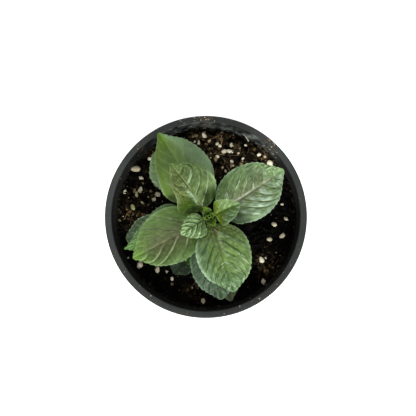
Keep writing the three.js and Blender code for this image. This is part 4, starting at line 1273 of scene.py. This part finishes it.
SCATTER_REACH = 47
BEIGE_PLACE = (-38.5, 26.5)
BEIGE_SIZE = 4.6
BEIGE_TURN = 75
BEIGE = linear(172, 162, 134)
PERLITE_WHITE = linear(234, 228, 200)
PERLITE_TAN = linear(164, 144, 110)
MOSS = linear(120, 140, 44)
MOSSY_PLACE = (-38.5, 8)
MOSSY_REACH = 6


def mossiness(x, y):
    return math.exp(-((x - MOSSY_PLACE[0]) ** 2 + (y - MOSSY_PLACE[1]) ** 2) / MOSSY_REACH ** 2)


def perlite_part():
    rng = np.random.default_rng(21)
    oval = lump(rng, np.zeros(3), BEIGE_SIZE, (1.15, 0.72, 0.6), 3, 0.06, BEIGE, 0)
    parts = [rolled(oval, rng, BEIGE_TURN, on_soil(*BEIGE_PLACE, 0.6))]
    for x, y, size in PERLITE:
        # Grains take the soil's painted shade: dimmer and tanner where shaded, brighter where dry and lit.
        lit_and_dry = min(dryness_and_light(x, y), 1)
        tan = rng.uniform(0, 0.5) * (1 - 0.6 * lit_and_dry)
        tint = mixed(PERLITE_WHITE, PERLITE_TAN, tan) * lerp(0.55, 1.1, lit_and_dry)
        tint = mixed(tint, MOSS, 0.8 * mossiness(x, y))
        stretch = (rng.uniform(1, 1.35), rng.uniform(0.75, 0.95), rng.uniform(0.7, 0.85))
        parts.append(lump(rng, on_soil(x, y, 0.15 * size), size, stretch, 3, 0.14, tint, 0.5))
    for _ in range(SMALL_GRAINS):
        x, y = scattered(rng, SCATTER_REACH)
        # Small grains are sized and dimmed with the soil's painted shade.
        size = (0.4 + 1.1 * rng.uniform(0, 1) ** 3) * (0.7 + 0.5 * dryness_and_light(x, y))
        light = lerp(0.16, 1.05, min(dryness_and_light(x, y), 1))
        tint = mixed(PERLITE_WHITE, PERLITE_TAN, rng.uniform(0.1, 1)) * light
        tint = mixed(tint, MOSS, min(1, 1.4 * mossiness(x, y) * rng.uniform(0.3, 1)))
        parts.append(lump(rng, on_soil(x, y, 0.1 * size), size, (1.1, 0.9, 0.8), 2, 0.12, tint, 0.6))
    return joined(parts)


SOIL_BITS = 2600
BITS_REACH = 48
WALL_CRUMBS = 300
BIT_DARK, BIT_BROWN, BIT_PALE = linear(16, 13, 9), linear(96, 78, 50), linear(140, 124, 92)
CRUMB_DARK, CRUMB_BROWN = linear(10, 9, 6), linear(60, 50, 34)


def crumb_part():
    """Crumbs of peat and bark on the soil, and a fringe of them along the wall."""
    rng = np.random.default_rng(22)
    parts = []
    for _ in range(SOIL_BITS):
        x, y = scattered(rng, BITS_REACH)
        size = 0.5 + 1.9 * rng.uniform(0, 1) ** 2.4
        # Crumbs are darkened with the soil's painted shade, and brighter where it is dry and lit.
        tint = mixed(BIT_DARK, BIT_BROWN, rng.uniform(0, 1) ** 3) * dryness_and_light(x, y)
        if rng.uniform(0, 1) < 0.02 + 0.05 * dryness_and_light(x, y):
            tint = BIT_PALE * lerp(0.4, 1, min(dryness_and_light(x, y), 1))
        stretch = (rng.uniform(1, 1.5), rng.uniform(0.7, 1), rng.uniform(0.5, 0.8))
        level = 1 if size < 1 else 2
        parts.append(lump(rng, on_soil(x, y, 0.12 * size), size, stretch, level, 0.16, tint, 0.7))
    for _ in range(WALL_CRUMBS):
        turn, climb = rng.uniform(0, 360), 2.6 * rng.uniform(0, 1) ** 2
        size = rng.uniform(0.8, 2.4) * (1 - 0.2 * climb)
        z = SOIL_TOP + climb + 0.4
        place = bearing(turn) * (wall_inner(z) - 0.35 * size)
        place[2] = z
        # The wall crumbs take the soil's painted shade too.
        tint = mixed(CRUMB_DARK, CRUMB_BROWN, rng.uniform(0, 1) ** 2) * min(1, 0.3 + dryness_and_light(*place[:2]))
        parts.append(lump(rng, place, size, (1.2, 0.9, 0.8), 1, 0.16, tint, 0.7))
    return joined(parts)


# Flakes of bark: x, y, length and turn in degrees
BARK = (
    (-43.5, 5, 2.6, 20), (-41.5, 3.6, 3.4, -30), (-39.5, 2, 3, -20), (-42.5, 1, 2.2, 60), (-37, 1.4, 2.8, 15),
    (-34.5, 1.6, 2.4, -40), (-40.5, -0.6, 2.4, 5), (31.5, 32.5, 3.2, 120), (35.5, -27, 3.4, 30),
    (32, -29, 3, 75),
)
BARK_BROWN = linear(92, 72, 46)
STRAW_LOW, STRAW_HIGH = np.array([23.2, 41.5, 81.9]), np.array([20.0, 44.6, 87.5])
STRAW_BOW = np.array([0.25, 0.2, 0])
STRAW_GREY = linear(186, 186, 174)
FIBRE_COUNT = 420
FIBRE_STEPS = 9
FIBRE_REACH = 46.5
FIBRE_LIMIT = 47.5
FIBRE_DARK, FIBRE_PALE = linear(52, 38, 24), linear(150, 124, 90)


def bark_parts():
    """Thin flakes of bark with frayed edges, lying a little tilted on the soil."""
    rng = np.random.default_rng(25)
    for x, y, length, turn in BARK:
        flake = lump(rng, np.zeros(3), length, (1, 0.5, 0.2), 3, 0.3, BARK_BROWN, 0)
        flake = rolled(flake, rng, turn, on_soil(x, y, 0.35))
        fleck = 0.7 + 1.1 * rough(flake["points"][:, 0], flake["points"][:, 1], 0.7, 161, 2)
        yield {**flake, "tint": flake["tint"] * np.clip(fleck, 0.1, 1.7)[:, None]}


def straw_part():
    """A pale sliver of straw that leans on the wall."""
    steps = np.linspace(0, 1, 12)
    path = lerp(STRAW_LOW, STRAW_HIGH, steps[:, None]) + STRAW_BOW * np.sin(np.pi * steps)[:, None]
    return tube_part(path, 0.3 - 0.12 * steps, 7, STRAW_GREY, 51, 0.6, 0.5)


def fibre_part():
    """Bent fibres on the soil, with the flakes of bark and the straw."""
    rng = np.random.default_rng(23)
    parts = [straw_part(), *bark_parts()]
    for _ in range(FIBRE_COUNT):
        x, y = scattered(rng, FIBRE_REACH)
        length = rng.uniform(2.5, 9)
        heading, turning = rng.uniform(0, 360), rng.uniform(-60, 60)
        steps = np.linspace(-0.5, 0.5, FIBRE_STEPS)
        angles = np.radians(heading + turning * steps)
        path = np.stack([np.cumsum(np.cos(angles)), np.cumsum(np.sin(angles))], -1) * length / FIBRE_STEPS
        path = path - path[FIBRE_STEPS // 2] + np.array([x, y])
        path = path * min(1, FIBRE_LIMIT / np.linalg.norm(path, axis=1).max())
        arch = rng.uniform(0.1, 0.7) * (1 - (2 * steps) ** 2)
        z = soil_height(path[:, 0], path[:, 1]) + 0.1 + arch
        radii = rng.uniform(0.09, 0.22) * (1 - 0.5 * np.abs(2 * steps) ** 3)
        # Fibres are darkened with the soil's painted shade.
        tint = mixed(FIBRE_DARK, FIBRE_PALE, rng.uniform(0, 1) ** 2.2) * dryness_and_light(x, y)
        parts.append(tube_part(np.concatenate([path, z[:, None]], axis=1), radii, 5, tint, 50, 0.7))
    return joined(parts)


# Dirt on the rim and the wall: azimuth, spread in degrees, count and share that is pale
DIRT = ((91, 7, 130, 0.6), (47, 7, 90, 0.35), (134, 4, 40, 0.4), (96, 25, 60, 0.5), (270, 180, 90, 0.4))
PALE_DIRT, BROWN_DIRT = linear(196, 186, 164), linear(112, 84, 56)


def dirt_part():
    rng = np.random.default_rng(24)
    parts = []
    for azimuth, spread, count, pale in DIRT:
        for _ in range(count):
            turn = azimuth + spread * rng.uniform(-1, 1) * rng.uniform(0.2, 1)
            size = 0.22 + 0.75 * rng.uniform(0, 1) ** 3
            if rng.uniform(0, 1) < 0.5:
                far, z = rng.uniform(RIM_INNER + 0.6, RIM_RADIUS - 0.6), POT_HEIGHT
            else:
                z = rng.uniform(SOIL_TOP + 0.5, POT_HEIGHT - 1)
                far = wall_inner(z) - 0.05
            place = bearing(turn) * far
            place[2] = z
            tint = PALE_DIRT if rng.uniform(0, 1) < pale else BROWN_DIRT
            parts.append(lump(rng, place, size, (1.1, 0.9, 0.6), 1, 0.12, tint * rng.uniform(0.5, 1), 0.4))
    return joined(parts)


# Materials

def linked(tree, target, value):
    """Sets a socket, or links it to another node's output."""
    if isinstance(value, bpy.types.NodeSocket):
        tree.links.new(value, target)
    else:
        target.default_value = value


def node(tree, kind, settings=None, inputs=None, output=0):
    made = tree.nodes.new(kind)
    for key, value in (settings or {}).items():
        setattr(made, key, value)
    for key, value in (inputs or {}).items():
        linked(tree, made.inputs[key], value)
    return made.outputs[output]


def fresh(name):
    material = bpy.data.materials.new(name)
    material.use_nodes = True
    tree = material.node_tree
    tree.nodes.clear()
    return material, tree


def attribute(tree, name, output):
    return node(tree, "ShaderNodeAttribute", {"attribute_name": name}, output=output)


def carried(tree):
    """The colour and the place for textures that each piece carries."""
    return attribute(tree, "tint", "Color"), attribute(tree, "flat", "Vector")


def noise(tree, vector, scale, detail=3, roughness=0.5):
    inputs = {"Vector": vector, "Scale": scale, "Detail": detail, "Roughness": roughness}
    return node(tree, "ShaderNodeTexNoise", None, inputs)


def ramp(tree, value, low, high, start=0.0, end=1.0):
    inputs = {0: value, 1: low, 2: high, 3: start, 4: end}
    return node(tree, "ShaderNodeMapRange", {"clamp": True}, inputs)


def math_node(tree, operation, a, b):
    return node(tree, "ShaderNodeMath", {"operation": operation}, {0: a, 1: b})


def times(tree, a, b):
    return math_node(tree, "MULTIPLY", a, b)


def plus(tree, a, b):
    return math_node(tree, "ADD", a, b)


def colour_mix(tree, share, a, b, blend="MIX"):
    settings = {"data_type": "RGBA", "blend_type": blend}
    return node(tree, "ShaderNodeMix", settings, {0: share, 6: a, 7: b}, 2)


def tinted(tree, colour, by):
    return colour_mix(tree, 1.0, colour, by, "MULTIPLY")


def bump(tree, height, distance, strength):
    return node(tree, "ShaderNodeBump", None, {"Height": height, "Distance": distance, "Strength": strength})


def principled(tree, inputs):
    return node(tree, "ShaderNodeBsdfPrincipled", None, inputs)


def finished(tree, shader):
    output = tree.nodes.new("ShaderNodeOutputMaterial")
    tree.links.new(shader, output.inputs["Surface"])


def shaded(tree, tint, amount, value):
    """A colour made darker and lighter by a value from 0 to 1."""
    factor = ramp(tree, value, 0.3, 0.7, 1 - amount, 1 + amount)
    grey = node(tree, "ShaderNodeCombineColor", None, {0: factor, 1: factor, 2: factor})
    return tinted(tree, tint, grey)


LINE_LIGHT = (1.35, 1.3, 1.4, 1)
GLOW = (1.5, 1.6, 0.5, 1)
DUST_COLOUR = (0.16, 0.15, 0.13, 1)
FLOOR_COLOUR = (0.86, 0.86, 0.86, 1)


def leaf_material(name, through=0.18, gloss=0.3):
    material, tree = fresh(name)
    tint, flat = carried(tree)
    dull = attribute(tree, "dull", "Fac")
    mottle = noise(tree, flat, 0.45, 4)
    grain = noise(tree, flat, 4.0, 3)
    net = node(tree, "ShaderNodeTexVoronoi", {"feature": "DISTANCE_TO_EDGE"}, {"Vector": flat, "Scale": 1.15})
    lines = ramp(tree, net, 0.02, 0.13, 1.0, 0.0)
    colour = shaded(tree, tint, 0.09, mottle)
    colour = shaded(tree, colour, 0.06, grain)
    lighter = tinted(tree, colour, LINE_LIGHT)
    colour = colour_mix(tree, times(tree, lines, 0.3), colour, lighter)
    relief = math_node(tree, "SUBTRACT", times(tree, grain, 0.5), lines)
    normal = bump(tree, relief, 0.00006, 0.7)
    roughness = plus(tree, dull, ramp(tree, grain, 0.3, 0.7, -0.05, 0.07))
    front = principled(tree, {
        "Base Color": colour, "Roughness": roughness, "Normal": normal, "IOR": 1.42,
        "Specular IOR Level": gloss, "Sheen Weight": 0.03, "Sheen Roughness": 0.5,
    })
    glow = tinted(tree, colour, GLOW)
    behind = node(tree, "ShaderNodeBsdfTranslucent", None, {"Color": glow, "Normal": normal})
    finished(tree, node(tree, "ShaderNodeMixShader", None, {0: through, 1: front, 2: behind}))
    return material


def stem_material():
    material, tree = fresh("mint_stem")
    tint, flat = carried(tree)
    streaks = node(tree, "ShaderNodeMapping", None, {"Vector": flat, "Scale": (0.25, 6.0, 1.0)})
    streak = noise(tree, streaks, 1.0, 4)
    spots = noise(tree, flat, 2.2, 3)
    colour = shaded(tree, tint, 0.16, streak)
    colour = shaded(tree, colour, 0.1, spots)
    normal = bump(tree, streak, 0.00012, 0.7)
    finished(tree, principled(tree, {
        "Base Color": colour, "Roughness": ramp(tree, spots, 0.3, 0.7, 0.38, 0.56), "Normal": normal,
        "IOR": 1.42, "Sheen Weight": 0.15,
    }))
    return material


def grain_material(name, scale, depth, amount, rough_low, rough_high, specular):
    """Soil, crumbs and perlite: coloured by the piece, with a grain over it."""
    material, tree = fresh(name)
    tint, flat = carried(tree)
    coarse = noise(tree, flat, scale, 5, 0.65)
    pores = node(tree, "ShaderNodeTexVoronoi", None, {"Vector": flat, "Scale": scale * 2.5})
    colour = shaded(tree, tint, amount, coarse)
    height = plus(tree, coarse, times(tree, pores, 0.4))
    normal = bump(tree, height, depth, 0.8)
    finished(tree, principled(tree, {
        "Base Color": colour, "Roughness": ramp(tree, coarse, 0.3, 0.7, rough_low, rough_high),
        "Normal": normal, "Specular IOR Level": specular,
    }))
    return material


def plastic_material():
    material, tree = fresh("pot_plastic")
    tint, flat = carried(tree)
    place = node(tree, "ShaderNodeTexCoord", None, None, "Object")
    scratch = noise(tree, flat, 3.0, 5, 0.6)
    cloud = noise(tree, place, 90.0, 4)
    speck = noise(tree, place, 900.0, 3)
    colour = shaded(tree, tint, 0.12, cloud)
    colour = shaded(tree, colour, 0.14, scratch)
    dust = times(tree, ramp(tree, speck, 0.6, 0.74), ramp(tree, cloud, 0.45, 0.7, 0.02, 0.3))
    colour = colour_mix(tree, dust, colour, DUST_COLOUR)
    height = plus(tree, times(tree, scratch, 0.6), times(tree, speck, 0.4))
    normal = bump(tree, height, 0.00008, 0.6)
    roughness = plus(tree, ramp(tree, scratch, 0.3, 0.7, 0.5, 0.66), times(tree, dust, 0.3))
    finished(tree, principled(tree, {
        "Base Color": colour, "Roughness": roughness, "Normal": normal, "IOR": 1.46,
        "Specular IOR Level": 0.16,
    }))
    return material


def floor_material():
    material, tree = fresh("floor_white")
    place = node(tree, "ShaderNodeTexCoord", None, None, "Object")
    cloud = noise(tree, place, 3.0, 2)
    colour = shaded(tree, FLOOR_COLOUR, 0.01, cloud)
    finished(tree, principled(tree, {
        "Base Color": colour, "Roughness": 0.8, "Emission Color": (1, 1, 1, 1), "Emission Strength": 0.6,
    }))
    return material


# The camera, the lights and the floor

CAMERA_PLACE = Vector((12, -20, 542)) * MM
CAMERA_AIM = Vector((1.28, 4.42, 92)) * MM
CAMERA_LENS = 73.2
CAMERA_CLIP = (0.01, 60)
SENSOR = 36
LIGHT_AIM = Vector((0, 0, 0.1))
FLOOR_HALF = 15


def make_camera():
    camera = bpy.data.cameras.new("camera")
    camera.lens = CAMERA_LENS
    camera.sensor_width = SENSOR
    camera.clip_start, camera.clip_end = CAMERA_CLIP
    made = placed("camera", camera)
    back = (CAMERA_PLACE - CAMERA_AIM).normalized()
    right = Vector((0, 1, 0)).cross(back).normalized()
    up = back.cross(right)
    turn = Matrix((right, up, back)).transposed().to_4x4()
    made.matrix_world = Matrix.Translation(CAMERA_PLACE) @ turn
    bpy.context.scene.camera = made


def area_light(name, place, size, power):
    light = bpy.data.lights.new(name, "AREA")
    light.shape = "DISK"
    light.size = size
    light.energy = power
    made = placed(name, light)
    made.location = place
    made.rotation_euler = (LIGHT_AIM - Vector(place)).to_track_quat("-Z", "Y").to_euler()


def make_studio():
    """A key light from the front, a soft one from above, a white surrounding and the floor."""
    area_light("key", (0.12, -1.0, 0.75), 0.5, 24)
    area_light("top", (0.0, 0.1, 1.5), 1.2, 6)
    world = bpy.data.worlds.new("studio")
    world.use_nodes = True
    sky = world.node_tree.nodes["Background"]
    sky.inputs["Color"].default_value = (1, 1, 1, 1)
    sky.inputs["Strength"].default_value = 0.5
    bpy.context.scene.world = world
    bpy.context.scene.view_settings.view_transform = "Standard"
    mesh = bpy.data.meshes.new("floor")
    corners = [(x * FLOOR_HALF, y * FLOOR_HALF, 0) for x, y in ((-1, -1), (1, -1), (1, 1), (-1, 1))]
    mesh.from_pydata(corners, [], [(0, 1, 2, 3)])
    mesh.materials.append(floor_material())
    floor = placed("floor", mesh)


make_camera()
make_studio()

LEAF = leaf_material("mint_leaf")
YOUNG = leaf_material("mint_young_leaf", 0.25, 0.25)
STEM = stem_material()
PLASTIC = plastic_material()
SOIL = grain_material("potting_mix", 1.6, 0.0004, 0.35, 0.75, 0.95, 0.04)
BITS = grain_material("loose_bits", 2.4, 0.0002, 0.3, 0.7, 0.95, 0.06)
GRAINS = grain_material("perlite_grain", 2.0, 0.00022, 0.08, 0.8, 0.95, 0.3)

for number, leaf in enumerate(LEAVES):
    part = leaf_part({**ANY_LEAF, **leaf}, midrib(leaf), 200 + 13 * number)
    piece(leaf["name"] + "_blade", part, LEAF, [leaf["name"]])
piece("stem_fine", stem_part(), STEM, ["stem"])
piece("stem_hairs", hair_part(), STEM)
piece("growing_tip_fine", bud_part(), YOUNG, ["growing_tip"])
piece("side_shoot_fine", shoot_part(), YOUNG, ["side_shoot"])
drained(piece("pot_fine", pot_part(), PLASTIC, ["pot"]))
piece("soil_fine", soil_part(), SOIL, ["soil"], sharp=180)
piece("perlite", perlite_part(), GRAINS, sharp=180)
piece("soil_crumbs", crumb_part(), BITS, sharp=60)
piece("soil_fibres", fibre_part(), BITS, sharp=80)
piece("rim_dirt", dirt_part(), BITS, sharp=60)
